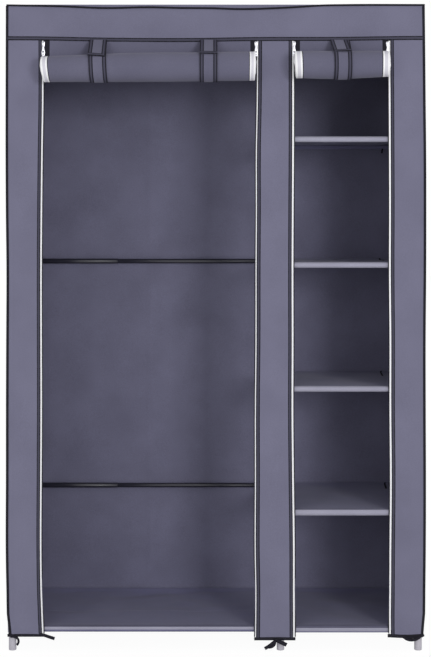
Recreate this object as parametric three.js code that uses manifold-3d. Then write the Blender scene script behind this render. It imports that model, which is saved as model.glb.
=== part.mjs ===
// A portable fabric wardrobe: steel tubes pushed into moulded joints, and a zipped cloth cover over them.
// Millimetres, +Z up, the front faces -Y. The left bay is for hanging, the right bay has four shelves.
// Both doors are rolled up under the header and held by straps, as the wardrobe is used open.
import * as THREE from 'three';
import { mergeVertices } from 'three/addons/utils/BufferGeometryUtils.js';
import Module from 'manifold-3d';

const wasm = await Module();
wasm.setup();

// The whole wardrobe, over the cover
const width = 1100;
const depth = 450;
const height = 1700;
const clearance = 0.3; // between pieces that touch
const overrun = 5; // how far a cut runs past what it cuts
const weld = 0.0001; // points closer than this are one point

// Columns and levels of the frame
const columnInset = 15; // axis of an outer upright, from the cover's side
const columnSetback = 12.5; // the same from the cover's front and back
const rightBay = 363; // between the middle and right uprights' axes
const bottomLevel = 58.5; // rail axis of the lowest level
const firstShelfStep = 306; // from the lowest level up to the lowest shelf frame
const secondShelfStep = 324; // and from each shelf frame to the next
const thirdShelfStep = 327;
const fourthShelfStep = 332;

// Tubes
const uprightRadius = 8;
const uprightWall = 0.8;
const railRadius = 6.35;
const rodRadius = 7.2; // the wider half of a back rod
const clothesRailRadius = 8;
const rodMeetShare = 0.35; // where the halves of a back rod meet

// Moulded joints
const sleeveWall = 2.1;
const sleeveHeight = 34;
const socketWall = 1.8;
const socketLength = 23; // from the upright's axis
const cupWall = 2;
const cupStop = 13; // where the hole of a cup begins
const cupLength = 32;

// Feet
const footRadius = 10;
const footHeight = 41;
const footFloor = 4;
const footRound = 2;
const footCurve = 2; // steps of the rounded edge, for each eighth of a turn

// Cloth
const cloth = 1.2; // the cover
const shelfCloth = 0.7;
const hemHeight = 42; // of the side strips, the sides and the back
const centreHemHeight = 33;
const beadRadius = 2.2; // piping down the front corners
const seamDrop = 2.6; // the top seam below the top
const seamSag = 11; // how far the seam sags between the corners
const seamSagShares = [
  [0, 0],
  [0.23, 0.8],
  [0.36, 0.7],
  [0.58, 1],
  [0.76, 0.2],
  [1, 0],
]; // share of the width, share of the sag
const seamSteps = 24;
const foldDepth = 3; // of the folds in the back panel
const foldPitch = 178;
const foldSteps = 30;
const foldInset = 45; // the back panel is flat this far past each upright

// Header and strips
const headerHeight = 94.5; // from the top to the header's lower edge
const headerBinding = 12;
const headerBindingThickness = 4.6;
const stripWidth = 90;
const stripBinding = 9.2;
const centreStripOffset = 155.5; // its middle, right of the wardrobe's middle
const stripWave = 1; // how far a strip swells between its edges

// Zips
const zipWidth = 5;
const zipThickness = 1.8;
const sliderHeight = 14;
const sliderPlate = 1.8;
const sliderPlay = 0.4;
const sliderLip = 2.4; // how far the plates pass over the strip's binding
const sliderTop = 1.5; // below the header
const earWidth = 1.4;
const earSpan = 7.6; // over both ears
const earReach = 2.4; // from the front plate to the pin's axis
const earRadius = 1.7;
const pinRadius = 0.8;
const pinPlay = 0.35;
const pinDrop = 2; // the pin's axis below the slider's top
const eyeRadius = 2;
const eyeWidth = 4;
const pullLength = 37; // from the pin's axis to the lower end
const pullThickness = 1.2;
const pullNeck = 3.6;
const pullEnd = 13;
const pullShoulder = 15.6; // from the lower end up to where the pull narrows
const pullNeckLow = 26; // and up to where its neck begins
const pullHole = 2.6;

// Doors
const doorInset = 12; // edge of the hanging sheet, from the zip's middle
const doorThickness = 1.2;
const rollRadius = 35;
const rollCore = 8; // radius at which the roll begins
const rollCloth = 1.4; // cloth and air of one layer
const rollStandOff = 6; // gap between the roll and the strips
const rollOverlap = 4; // the roll's ends pass the zips' middles by this
const leftRollDrop = 72; // the roll's axis below the header's lower edge
const rightRollDrop = 67.5;
const rollSteps = 14; // in one turn

// Straps, each round a roll from the header and back to it
const strapWidth = 43;
const strapCloth = 1.1;
const strapGap = 0.7;
const strapEndHeight = 14; // the bound end, along the front leg
const strapEndThickness = 1.2;
const strapEndDrop = 47; // from the header to the bound end, along the front leg
const strapSteps = 16;
const leftStrapShares = [0.255, 0.782]; // of the left opening's width
const rightStrapShares = [0.52];

// Hem ties round the front feet
const tieCloth = 1;
const tieWidth = 9;
const tieDrop = 4; // the tie below the foot's top
const tieTail = 27;
const tieSpread = 0.65; // radians from straight down
const tieHang = 0.1;

// Facets
const tubeSides = 12;
const railSides = 8;
const socketSides = 8;
const smallSides = 10;
const pipingSides = 6;
const curveSteps = 8;

// Places that follow from the sizes
const coverFront = -depth / 2;
const coverBack = depth / 2;
const columnX = { left: columnInset - width / 2, right: width / 2 - columnInset };
columnX.middle = columnX.right - rightBay;
const columnY = { front: coverFront + columnSetback, back: coverBack - columnSetback };
const coverUnder = height - cloth - clearance; // everything under the top cloth ends here
const shelfLevels = [];
for (const step of [firstShelfStep, secondShelfStep, thirdShelfStep, fourthShelfStep]) {
  shelfLevels.push((shelfLevels.at(-1) ?? bottomLevel) + step);
}
const headerLow = height - headerHeight;
const underHeader = headerLow - clearance;
const stripOuterX = width / 2 - 2 * beadRadius - clearance;
const sleeveRadius = uprightRadius + clearance + sleeveWall;
const socketRadius = railRadius + socketWall;
const topLevel = coverUnder - socketRadius; // the sockets of the top level carry the top cloth
const stripX = {
  leftInner: -width / 2 + stripWidth,
  centreLeft: centreStripOffset - stripWidth / 2,
  centreRight: centreStripOffset + stripWidth / 2,
  rightInner: width / 2 - stripWidth,
};
const zipOffset = clearance + zipWidth / 2; // a zip's middle from the strip's edge
const openings = {
  left: { from: stripX.leftInner + zipOffset, to: stripX.centreLeft - zipOffset },
  right: { from: stripX.centreRight + zipOffset, to: stripX.rightInner - zipOffset },
};
const zipY = coverFront + cloth / 2;
const zipFront = zipY - zipThickness / 2;
const rollY = zipFront - rollStandOff - rollRadius;

// Materials, one for each kind of stuff
const materials = {
  coverCloth: new THREE.MeshStandardMaterial({ color: 0x737186, roughness: 0.95, metalness: 0 }),
  doorCloth: new THREE.MeshStandardMaterial({ color: 0x626174, roughness: 0.95, metalness: 0 }),
  shelfCloth: new THREE.MeshStandardMaterial({ color: 0x8d8c9b, roughness: 0.9, metalness: 0 }),
  binding: new THREE.MeshStandardMaterial({ color: 0x2b2a36, roughness: 0.9, metalness: 0 }),
  zip: new THREE.MeshStandardMaterial({ color: 0xf4f4f7, roughness: 0.6, metalness: 0 }),
  slider: new THREE.MeshStandardMaterial({ color: 0xd6d6dc, roughness: 0.3, metalness: 1 }),
  tube: new THREE.MeshStandardMaterial({ color: 0x3a3a47, roughness: 0.45, metalness: 0.6 }),
  joint: new THREE.MeshStandardMaterial({ color: 0xb7b5bd, roughness: 0.55, metalness: 0 }),
};

// Solids and meshes

function toSolid(geometry) {
  const bare = geometry.index ? geometry.toNonIndexed() : geometry.clone();
  bare.deleteAttribute('normal');
  bare.deleteAttribute('uv');
  const merged = mergeVertices(bare, weld);
  const mesh = new wasm.Mesh({
    numProp: 3,
    vertProperties: new Float32Array(merged.attributes.position.array),
    triVerts: new Uint32Array(merged.index.array),
  });
  return new wasm.Manifold(mesh);
}

function toGeometry(solid) {
  const mesh = solid.getMesh();
  const geometry = new THREE.BufferGeometry();
  geometry.setAttribute('position', new THREE.BufferAttribute(mesh.vertProperties, 3));
  geometry.setIndex(new THREE.BufferAttribute(mesh.triVerts, 1));
  geometry.computeVertexNormals();
  return geometry;
}

function joined(geometries) {
  return geometries.map(toSolid).reduce((body, piece) => body.add(piece));
}

function piece(name, geometry, material, position = [0, 0, 0]) {
  const mesh = new THREE.Mesh(geometry, material);
  mesh.name = name;
  mesh.position.set(...position);
  return mesh;
}

// A round bar between two points, each [x, y, z]
function bar(radius, start, end, sides) {
  const a = new THREE.Vector3(...start);
  const b = new THREE.Vector3(...end);
  const along = b.clone().sub(a);
  const geometry = new THREE.CylinderGeometry(radius, radius, along.length(), sides);
  const turn = new THREE.Quaternion().setFromUnitVectors(new THREE.Vector3(0, 1, 0), along.normalize());
  geometry.applyQuaternion(turn);
  geometry.translate(...a.add(b).divideScalar(2).toArray());
  return geometry;
}

function block(x0, x1, y0, y1, z0, z1) {
  const geometry = new THREE.BoxGeometry(x1 - x0, y1 - y0, z1 - z0);
  geometry.translate((x0 + x1) / 2, (y0 + y1) / 2, (z0 + z1) / 2);
  return geometry;
}

// A closed solid through sections of [x, y, z] points, which all have the same count.
// The end caps are cut up in the plane of the two axes in capAxes.
function loft(sections, capAxes) {
  const count = sections[0].length;
  const points = sections.flat(2);
  const flat = sections[0].map((p) => new THREE.Vector2(p[capAxes[0]], p[capAxes[1]]));
  const caps = THREE.ShapeUtils.triangulateShape(flat, []);
  const clockwise = THREE.ShapeUtils.isClockWise(flat);
  const last = (sections.length - 1) * count;
  const triangles = [];
  for (const [a, b, c] of caps) {
    triangles.push(a, c, b);
    triangles.push(last + a, last + b, last + c);
  }
  for (let s = 0; s < sections.length - 1; s++) {
    for (let i = 0; i < count; i++) {
      const here = s * count + i;
      const next = s * count + ((i + 1) % count);
      const [a, b] = clockwise ? [next, here] : [here, next];
      triangles.push(a, b, a + count);
      triangles.push(b, b + count, a + count);
    }
  }
  const geometry = new THREE.BufferGeometry();
  geometry.setAttribute('position', new THREE.Float32BufferAttribute(points, 3));
  geometry.setIndex(triangles);
  if (signedVolume(geometry) < 0) {
    triangles.reverse();
    geometry.setIndex(triangles);
  }
  geometry.computeVertexNormals();
  return geometry;
}

function signedVolume(geometry) {
  const place = geometry.attributes.position;
  const corners = [new THREE.Vector3(), new THREE.Vector3(), new THREE.Vector3()];
  let sum = 0;
  for (let i = 0; i < geometry.index.count; i += 3) {
    corners.forEach((corner, k) => corner.fromBufferAttribute(place, geometry.index.getX(i + k)));
    sum += corners[0].dot(corners[1].clone().cross(corners[2])) / 6;
  }
  return sum;
}

// A [y, z] outline drawn out along X, and an [x, y] outline drawn out along Z
function alongX(outline, x0, x1) {
  return loft([x0, x1].map((x) => outline.map(([y, z]) => [x, y, z])), [1, 2]);
}

function alongZ(outline, z0, z1) {
  return loft([z0, z1].map((z) => outline.map(([x, y]) => [x, y, z])), [0, 1]);
}

// Points of a band: a centre line of 2D points, thickened to both sides
function band(line, thickness) {
  const sides = { over: [], under: [] };
  line.forEach(([u, v], i) => {
    const before = line[Math.max(i - 1, 0)];
    const after = line[Math.min(i + 1, line.length - 1)];
    const along = new THREE.Vector2(after[0] - before[0], after[1] - before[1]).normalize();
    const across = [(-along.y * thickness) / 2, (along.x * thickness) / 2];
    sides.over.push([u + across[0], v + across[1]]);
    sides.under.push([u - across[0], v - across[1]]);
  });
  return [...sides.over, ...sides.under.reverse()];
}

// Frame

// One level of the frame at z = 0: rails between joints on the given columns, with sleeves for the uprights.
// Each cup is a socket for a rod that is pushed in along X: { x, y, z, way, radius }.
function frameLevel(columns, sleeveLow, sleeveHigh, cups = []) {
  const ys = [columnY.front, columnY.back];
  const bodies = [];
  const holes = [];
  columns.forEach((x, i) => {
    bodies.push(bar(railRadius, [x, ys[0], 0], [x, ys[1], 0], railSides));
    for (const y of ys) {
      const inward = Math.sign(-y);
      bodies.push(bar(sleeveRadius, [x, y, -sleeveLow], [x, y, sleeveHigh], tubeSides));
      bodies.push(bar(socketRadius, [x, y, 0], [x, y + inward * socketLength, 0], socketSides));
      const boreLow = [x, y, -sleeveLow - overrun];
      const boreHigh = [x, y, sleeveHigh + overrun];
      holes.push(bar(uprightRadius + clearance, boreLow, boreHigh, tubeSides));
      if (i > 0) {
        const before = columns[i - 1];
        bodies.push(bar(railRadius, [before, y, 0], [x, y, 0], railSides));
        bodies.push(bar(socketRadius, [before, y, 0], [before + socketLength, y, 0], socketSides));
        bodies.push(bar(socketRadius, [x - socketLength, y, 0], [x, y, 0], socketSides));
      }
    }
  });
  for (const { x, y, z, way, radius } of cups) {
    const stop = x + way * cupStop;
    const end = x + way * cupLength;
    bodies.push(bar(radius + clearance + cupWall, [x, y, z], [end, y, z], tubeSides));
    holes.push(bar(radius + clearance, [stop, y, z], [end + way * overrun, y, z], tubeSides));
  }
  return toGeometry(joined(bodies).subtract(joined(holes)));
}

function upright(name, x, y) {
  const low = footFloor + clearance;
  const profile = [
    [uprightRadius - uprightWall, low],
    [uprightRadius, low],
    [uprightRadius, coverUnder - clearance],
    [uprightRadius - uprightWall, coverUnder - clearance],
    [uprightRadius - uprightWall, low],
  ];
  const geometry = new THREE.LatheGeometry(
    profile.map(([r, z]) => new THREE.Vector2(r, z)),
    tubeSides,
  );
  geometry.rotateX(Math.PI / 2);
  return piece(name, geometry, materials.tube, [x, y, 0]);
}

function foot(name, x, y) {
  const bore = uprightRadius + clearance;
  const round = new THREE.Path();
  round.moveTo(0, 0);
  round.lineTo(footRadius - footRound, 0);
  round.absarc(footRadius - footRound, footRound, footRound, -Math.PI / 2, 0, false);
  round.lineTo(footRadius, footHeight);
  round.lineTo(bore, footHeight);
  round.lineTo(bore, footFloor);
  round.lineTo(0, footFloor);
  const geometry = new THREE.LatheGeometry(round.getPoints(footCurve), tubeSides);
  geometry.rotateX(Math.PI / 2);
  return piece(name, geometry, materials.joint, [x, y, 0]);
}

// A back rod in two halves, the wider one pushed over the other
function backRod(name, level) {
  const from = columnX.left + cupStop + clearance;
  const to = columnX.middle - cupStop - clearance;
  const meet = from + (to - from) * rodMeetShare;
  const y = columnY.back;
  const rod = joined([
    bar(rodRadius, [from, y, 0], [meet, y, 0], socketSides),
    bar(railRadius, [meet - overrun, y, 0], [to, y, 0], socketSides),
  ]);
  return piece(name, toGeometry(rod), materials.tube, [0, 0, level]);
}

// The clothes rail hangs just low enough for its cups to clear the top cloth
const clothesRailDrop = clothesRailRadius + clearance + cupWall - socketRadius;

function clothesRail() {
  const from = columnX.left + cupStop + clearance;
  const to = columnX.middle - cupStop - clearance;
  const geometry = bar(clothesRailRadius, [from, 0, 0], [to, 0, 0], tubeSides);
  return piece('clothes_rail', geometry, materials.tube, [0, 0, topLevel - clothesRailDrop]);
}

// Shelves

// A cloth between two columns, that lies on the rails. A sleeve is sewn round the front rail and the back
// rail between their sockets, and between the side rails' sockets the cloth reaches over the side rails.
function shelf(name, from, to, level) {
  const inner = railRadius + clearance;
  const outer = inner + shelfCloth;
  const { front, back } = columnY;
  const edge = socketLength + clearance;
  const under = Math.acos(inner / outer); // where the sleeve leaves the flat part's underside
  const outline = new THREE.Shape();
  outline.moveTo(back, outer);
  outline.lineTo(front, outer);
  outline.absarc(front, 0, outer, Math.PI / 2, 2 * Math.PI + Math.PI / 2 - under, false);
  outline.lineTo(back - outer * Math.sin(under), inner);
  outline.absarc(back, 0, outer, Math.PI / 2 + under, 2 * Math.PI + Math.PI / 2, false);
  for (const y of [front, back]) {
    const hole = new THREE.Path();
    hole.absarc(y, 0, inner, 0, 2 * Math.PI, false);
    outline.holes.push(hole);
  }
  const sleeves = new THREE.ExtrudeGeometry(outline, {
    depth: to - from - 2 * edge,
    bevelEnabled: false,
    curveSegments: tubeSides / 2,
  });
  sleeves.rotateX(Math.PI / 2);
  sleeves.rotateZ(Math.PI / 2);
  sleeves.translate(from + edge, 0, 0);
  const flat = block(from + clearance, to - clearance, front + edge, back - edge, inner, outer);
  return piece(name, toGeometry(joined([sleeves, flat])), materials.shelfCloth, [0, 0, level]);
}

// Cover

// The front top seam sags between the corners
const seamCurve = new THREE.SplineCurve(
  seamSagShares.map(([across, sag]) => {
    const x = across * width - width / 2;
    return new THREE.Vector2(x, height - seamDrop - sag * seamSag);
  }),
);

function seamPoints(from, to) {
  const all = seamCurve.getPoints(seamSteps);
  const inside = all.filter((p) => p.x > from && p.x < to);
  const ends = [all[0], all[all.length - 1]];
  return [{ x: from, y: ends[0].y }, ...inside, { x: to, y: ends[1].y }];
}

function coverTop() {
  const lip = seamPoints(-stripOuterX, stripOuterX).map(({ x, y }) => [
    [x, coverFront, height - cloth / 2],
    [x, coverFront, y],
    [x, coverFront + cloth, y],
    [x, coverFront + cloth, height - cloth / 2],
  ]);
  const sheet = block(-width / 2, width / 2, coverFront, coverBack, height - cloth, height);
  return piece('cover_top', toGeometry(joined([sheet, loft(lip, [1, 2])])), materials.coverCloth);
}

function header() {
  const front = coverFront;
  const inside = coverFront + cloth;
  const boundFront = zipY - headerBindingThickness / 2;
  const boundBack = zipY + headerBindingThickness / 2;
  const bound = headerLow + headerBinding;
  const sections = seamPoints(-stripOuterX, stripOuterX).map(({ x, y }) => [
    [x, front, y - clearance],
    [x, front, bound],
    [x, boundFront, bound],
    [x, boundFront, headerLow],
    [x, boundBack, headerLow],
    [x, boundBack, bound],
    [x, inside, bound],
    [x, inside, y - clearance],
  ]);
  return piece('cover_header', loft(sections, [1, 2]), materials.coverCloth);
}

function topPiping() {
  const y = coverFront - beadRadius - clearance;
  const along = seamPoints(-stripOuterX, stripOuterX).map((p) => [p.x, p.y]);
  const sections = along.map(([x, z]) =>
    Array.from({ length: pipingSides }, (_, i) => {
      const turn = (2 * Math.PI * i) / pipingSides;
      return [x, y + beadRadius * Math.cos(turn), z + beadRadius * Math.sin(turn)];
    }),
  );
  return piece('top_piping', loft(sections, [1, 2]), materials.binding);
}

// The back hangs in soft folds between the uprights, and lies flat behind them
function backPanel() {
  const foldAt = (x) => {
    const columns = [columnX.left, columnX.middle, columnX.right];
    const near = Math.min(...columns.map((column) => Math.abs(x - column)));
    const room = Math.min(Math.max((near - foldInset / 2) / foldInset, 0), 1);
    return (foldDepth * room * (1 - Math.cos((2 * Math.PI * x) / foldPitch))) / 2;
  };
  const xs = Array.from({ length: foldSteps + 1 }, (_, i) => (i * width) / foldSteps - width / 2);
  const outline = [
    ...xs.map((x) => [x, coverBack - foldAt(x)]),
    ...xs.reverse().map((x) => [x, coverBack - cloth - foldAt(x)]),
  ];
  return piece('cover_back', alongZ(outline, hemHeight, coverUnder), materials.coverCloth);
}

// A side, with the piping of the front corner
function sidePanel(name, side) {
  const out = (side * width) / 2;
  const beadX = out - side * beadRadius;
  const beadY = coverFront + beadRadius;
  const meet = Math.acos((beadRadius - cloth) / beadRadius); // where the cloth's inner face leaves the bead
  const bead = Array.from({ length: curveSteps + 1 }, (_, i) => {
    const turn = meet + (i / curveSteps) * (2 * Math.PI - meet);
    return [beadX + side * beadRadius * Math.cos(turn), beadY + beadRadius * Math.sin(turn)];
  });
  const back = coverBack - cloth - clearance;
  const outline = [[out - side * cloth, back], ...bead, [out, back]];
  return piece(name, alongZ(outline, hemHeight, coverUnder), materials.coverCloth);
}

// A strip between two edges. A bound edge is thicker, and the cloth swells a little between the edges.
function strip(name, x0, x1, bound, hem) {
  const steps = curveSteps;
  const flatFrom = x0 + (bound.low ? stripBinding : 0);
  const flatTo = x1 - (bound.high ? stripBinding : 0);
  const thick = (zipThickness - cloth) / 2;
  const swell = (i) => stripWave * Math.sin((Math.PI * i) / steps) ** 2;
  const face = (side) => {
    const y = side < 0 ? coverFront : coverFront + cloth;
    const wave = Array.from({ length: steps + 1 }, (_, i) => [
      flatFrom + ((flatTo - flatFrom) * i) / steps,
      y + swell(i),
    ]);
    return [
      ...(bound.low ? [[x0, y + side * thick], [flatFrom, y + side * thick]] : []),
      ...wave,
      ...(bound.high ? [[flatTo, y + side * thick], [x1, y + side * thick]] : []),
    ];
  };
  const outline = [...face(-1), ...face(1).reverse()];
  return piece(name, alongZ(outline, hem, underHeader), materials.coverCloth);
}

// Zips

function zip(name, x) {
  const geometry = block(
    x - zipWidth / 2,
    x + zipWidth / 2,
    zipY - zipThickness / 2,
    zipY + zipThickness / 2,
    hemHeight,
    underHeader,
  );
  return piece(name, geometry, materials.zip);
}

const pinY = zipFront - sliderPlay - sliderPlate - earReach;
const pinZ = underHeader - sliderTop - pinDrop;

// A slider round the zip, open towards the strip that carries the zip. inward points into the opening.
function slider(name, x, inward) {
  const toStrip = -inward * (zipWidth / 2 + sliderLip);
  const toDoor = inward * (zipWidth / 2 + sliderPlay + sliderPlate);
  const [x0, x1] = [toStrip, toDoor].sort((a, b) => a - b);
  const half = zipThickness / 2 + sliderPlay;
  const top = underHeader - sliderTop;
  const low = top - sliderHeight;
  const front = zipY - half - sliderPlate;
  const body = toSolid(block(x0, x1, front, zipY + half + sliderPlate, low, top));
  const slotEnd = inward * (zipWidth / 2 + sliderPlay);
  const [s0, s1] = [toStrip - inward * overrun, slotEnd].sort((a, b) => a - b);
  const slot = toSolid(block(s0, s1, zipY - half, zipY + half, low - overrun, top + overrun));
  const middle = (x0 + x1) / 2;
  const ears = [-1, 1].map((side) => {
    const edge = middle + (side * earSpan) / 2;
    const [e0, e1] = [edge, edge - side * earWidth].sort((a, b) => a - b);
    const round = bar(earRadius, [e0, pinY, pinZ], [e1, pinY, pinZ], smallSides);
    const root = block(e0, e1, pinY, front + sliderPlate / 2, pinZ - earRadius, pinZ + earRadius);
    return toSolid(round).add(toSolid(root));
  });
  const span = earSpan / 2 - earWidth / 2;
  const pin = toSolid(bar(pinRadius, [middle - span, pinY, pinZ], [middle + span, pinY, pinZ], smallSides));
  const solid = body.subtract(slot).add(ears[0]).add(ears[1]).add(pin);
  return piece(name, toGeometry(solid), materials.slider, [x, 0, 0]);
}

function sliderMiddle(inward) {
  return (inward * (sliderPlay + sliderPlate - sliderLip)) / 2;
}

// A pull tab on the slider's pin, hanging straight down
function pull(name, x, inward) {
  const end = pullEnd / 2;
  const neck = pullNeck / 2;
  const shape = new THREE.Shape();
  shape.moveTo(-neck, 0);
  shape.lineTo(-neck, -pullLength + pullNeckLow);
  shape.lineTo(-end, -pullLength + pullShoulder);
  shape.lineTo(-end, -pullLength + end);
  shape.absarc(0, -pullLength + end, end, Math.PI, 2 * Math.PI, false);
  shape.lineTo(end, -pullLength + pullShoulder);
  shape.lineTo(neck, -pullLength + pullNeckLow);
  shape.lineTo(neck, 0);
  const hole = new THREE.Path();
  hole.absarc(0, -pullLength + end, pullHole, 0, 2 * Math.PI, false);
  shape.holes.push(hole);
  const plate = new THREE.ExtrudeGeometry(shape, {
    depth: pullThickness,
    bevelEnabled: false,
    curveSegments: curveSteps,
  });
  plate.translate(0, 0, -pullThickness / 2);
  plate.rotateX(Math.PI / 2);
  const eye = bar(eyeRadius, [-eyeWidth / 2, 0, 0], [eyeWidth / 2, 0, 0], smallSides);
  const bore = bar(pinRadius + pinPlay, [-eyeWidth, 0, 0], [eyeWidth, 0, 0], smallSides);
  const geometry = toGeometry(joined([plate, eye]).subtract(toSolid(bore)));
  return piece(name, geometry, materials.slider, [x + sliderMiddle(inward), pinY, pinZ]);
}

// Doors

// The pitch of the roll follows from the length of cloth that is rolled up in it
function rollShape(drop) {
  const outer = rollRadius - rollCloth / 2;
  const inner = rollCore + rollCloth / 2;
  const axisZ = headerLow - drop;
  const pitch = (Math.PI * (outer ** 2 - inner ** 2)) / (axisZ - hemHeight);
  return { outer, pitch, turns: (outer - inner) / pitch, axisZ };
}

// The sheet runs down behind the roll, so the roll winds from its back, under, forward and up
function rollLine({ outer, pitch, turns, axisZ }) {
  const steps = Math.round(turns * rollSteps);
  return Array.from({ length: steps + 1 }, (_, i) => {
    const turn = (2 * Math.PI * i) / rollSteps;
    const radius = outer - (pitch * i) / rollSteps;
    return [rollY + radius * Math.cos(turn), axisZ - radius * Math.sin(turn)];
  });
}

function doorRoll(name, { from, to }, drop) {
  const line = rollLine(rollShape(drop));
  const [y, z] = line[0];
  line[0] = [y, z - clearance / 2];
  const geometry = alongX(band(line, rollCloth), from - rollOverlap, to + rollOverlap);
  return piece(name, geometry, materials.doorCloth);
}

function doorSheet(name, { from, to }, drop) {
  const { outer, axisZ } = rollShape(drop);
  const low = [rollY + outer, axisZ + clearance];
  const high = [zipY, underHeader];
  const half = doorThickness / 2;
  const outline = [
    [high[0] - half, high[1]],
    [high[0] + half, high[1]],
    [low[0] + half, low[1]],
    [low[0] - half, low[1]],
  ];
  return piece(name, alongX(outline, from + doorInset, to - doorInset), materials.doorCloth);
}

// The least gap between the turns of a roll, measured on its points
function leastGap(drop) {
  const line = rollLine(rollShape(drop));
  let least = Infinity;
  for (let i = 0; i < line.length; i++) {
    for (let k = i + Math.round(rollSteps / 2); k < line.length; k++) {
      least = Math.min(least, Math.hypot(line[i][0] - line[k][0], line[i][1] - line[k][1]));
    }
  }
  return least * Math.cos(Math.PI / rollSteps) - rollCloth;
}

// A strap from the header down the front of the roll, round under it and up behind the sheet
function strap(name, x, drop) {
  const { outer, axisZ } = rollShape(drop);
  const radius = rollRadius + strapGap + strapCloth / 2;
  const topY = zipY - doorThickness / 2 - clearance - strapCloth;
  const rise = underHeader - axisZ;
  const reach = topY - rollY;
  const lean = Math.atan2(rise, reach);
  const tangent = lean + Math.acos(radius / Math.hypot(rise, reach));
  const arc = Array.from({ length: strapSteps + 1 }, (_, i) => {
    const turn = tangent + (i / strapSteps) * (2 * Math.PI - tangent);
    return [rollY + radius * Math.cos(turn), axisZ + radius * Math.sin(turn)];
  });
  const behind = doorThickness / 2 + strapGap + strapCloth / 2;
  const back = [zipY + behind, underHeader];
  const top = underHeader - strapCloth / 2;
  const line = [[topY, top], ...arc, back];
  const leg = toSolid(alongX(band(line, strapCloth), x - strapWidth / 2, x + strapWidth / 2));
  const unit = new THREE.Vector2(arc[0][0] - topY, arc[0][1] - top).normalize();
  const at = (down, out) => [topY + unit.x * down + unit.y * out, top + unit.y * down - unit.x * out];
  const over = strapCloth / 2 + strapEndThickness;
  const endLow = strapEndDrop + strapEndHeight;
  const end = [at(strapEndDrop, 0), at(strapEndDrop, over), at(endLow, over), at(endLow, 0)];
  const bound = toSolid(alongX(end, x - strapWidth / 2, x + strapWidth / 2));
  return piece(name, toGeometry(leg.add(bound)), materials.doorCloth);
}

// A tie: a ribbon round the foot with two tails in front of it. Each turn swings a tail from straight down.
function hemTie(name, x, hem, turns) {
  const inner = footRadius + clearance;
  const outer = inner + tieCloth;
  const top = hem - tieDrop;
  const low = top - tieWidth;
  const { front } = columnY;
  const ring = toSolid(bar(outer, [x, front, low], [x, front, top], tubeSides));
  const hole = toSolid(bar(inner, [x, front, low - overrun], [x, front, top + overrun], tubeSides));
  const y = front - outer * Math.cos(Math.PI / tubeSides);
  const tails = turns.map((turn) => {
    const tail = block(-tieWidth / 2, tieWidth / 2, y - tieCloth, y + tieCloth / 2, -tieTail, 0);
    tail.rotateY(turn);
    tail.translate(x, 0, top - tieCloth);
    return toSolid(tail);
  });
  return piece(name, toGeometry(ring.subtract(hole).add(tails[0]).add(tails[1])), materials.binding);
}

// Assembly

function buildFrame(group) {
  for (const [row, y] of Object.entries(columnY)) {
    for (const [column, x] of Object.entries(columnX)) {
      group.add(foot(`foot_${row}_${column}`, x, y));
      group.add(upright(`upright_${row}_${column}`, x, y));
    }
  }
  const { left, middle, right } = columnX;
  const half = sleeveHeight / 2;
  const bottom = frameLevel([left, middle, right], half, half);
  group.add(piece('bottom_frame', bottom, materials.tube, [0, 0, bottomLevel]));
  const railCups = [
    { x: left, y: 0, z: -clothesRailDrop, way: 1, radius: clothesRailRadius },
    { x: middle, y: 0, z: -clothesRailDrop, way: -1, radius: clothesRailRadius },
  ];
  const topHigh = coverUnder - topLevel;
  const top = frameLevel([left, middle, right], sleeveHeight - topHigh, topHigh, railCups);
  group.add(piece('top_frame', top, materials.tube, [0, 0, topLevel]));
  group.add(clothesRail());
  shelfLevels.forEach((level, i) => {
    const hasRod = i % 2 === 0;
    const cup = { x: middle, y: columnY.back, z: 0, way: -1, radius: railRadius };
    const frame = frameLevel([middle, right], half, half, hasRod ? [cup] : []);
    group.add(piece(`shelf_frame_${i + 1}`, frame, materials.tube, [0, 0, level]));
    if (hasRod) {
      const where = i === 0 ? 'lower' : 'upper';
      const rodCup = { x: left, y: columnY.back, z: 0, way: 1, radius: rodRadius };
      const bars = frameLevel([left], half, half, [rodCup]);
      group.add(piece(`${where}_left_side_bar`, bars, materials.tube, [0, 0, level]));
      group.add(backRod(`${where}_back_rod`, level));
    }
  });
}

function buildShelves(group) {
  const { left, middle, right } = columnX;
  shelfLevels.forEach((level, i) => group.add(shelf(`shelf_${i + 1}`, middle, right, level)));
  group.add(shelf('right_bottom_shelf', middle, right, bottomLevel));
  group.add(shelf('left_bottom_shelf', left, middle, bottomLevel));
}

function buildCover(group) {
  group.add(coverTop(), header(), topPiping(), backPanel());
  group.add(sidePanel('cover_left_side', -1), sidePanel('cover_right_side', 1));
  const { leftInner, centreLeft, centreRight, rightInner } = stripX;
  group.add(strip('left_strip', -stripOuterX, leftInner, { high: true }, hemHeight));
  group.add(strip('centre_strip', centreLeft, centreRight, { low: true, high: true }, centreHemHeight));
  group.add(strip('right_strip', rightInner, stripOuterX, { low: true }, hemHeight));
}

function buildDoors(group) {
  const doors = {
    left: { opening: openings.left, drop: leftRollDrop, straps: leftStrapShares },
    right: { opening: openings.right, drop: rightRollDrop, straps: rightStrapShares },
  };
  for (const [door, { opening, drop, straps }] of Object.entries(doors)) {
    for (const [edge, x, inward] of [['left', opening.from, 1], ['right', opening.to, -1]]) {
      group.add(zip(`${door}_door_${edge}_zip`, x));
      group.add(slider(`${door}_door_${edge}_slider`, x, inward));
      group.add(pull(`${door}_door_${edge}_pull`, x, inward));
    }
    group.add(doorSheet(`${door}_door_sheet`, opening, drop));
    group.add(doorRoll(`${door}_door_roll`, opening, drop));
    straps.forEach((share, i) => {
      const x = opening.from + (opening.to - opening.from) * share;
      group.add(strap(`${door}_door_strap_${i + 1}`, x, drop));
    });
    console.log(`${door} roll: least gap between turns ${leastGap(drop).toFixed(2)} mm`);
  }
}

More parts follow.
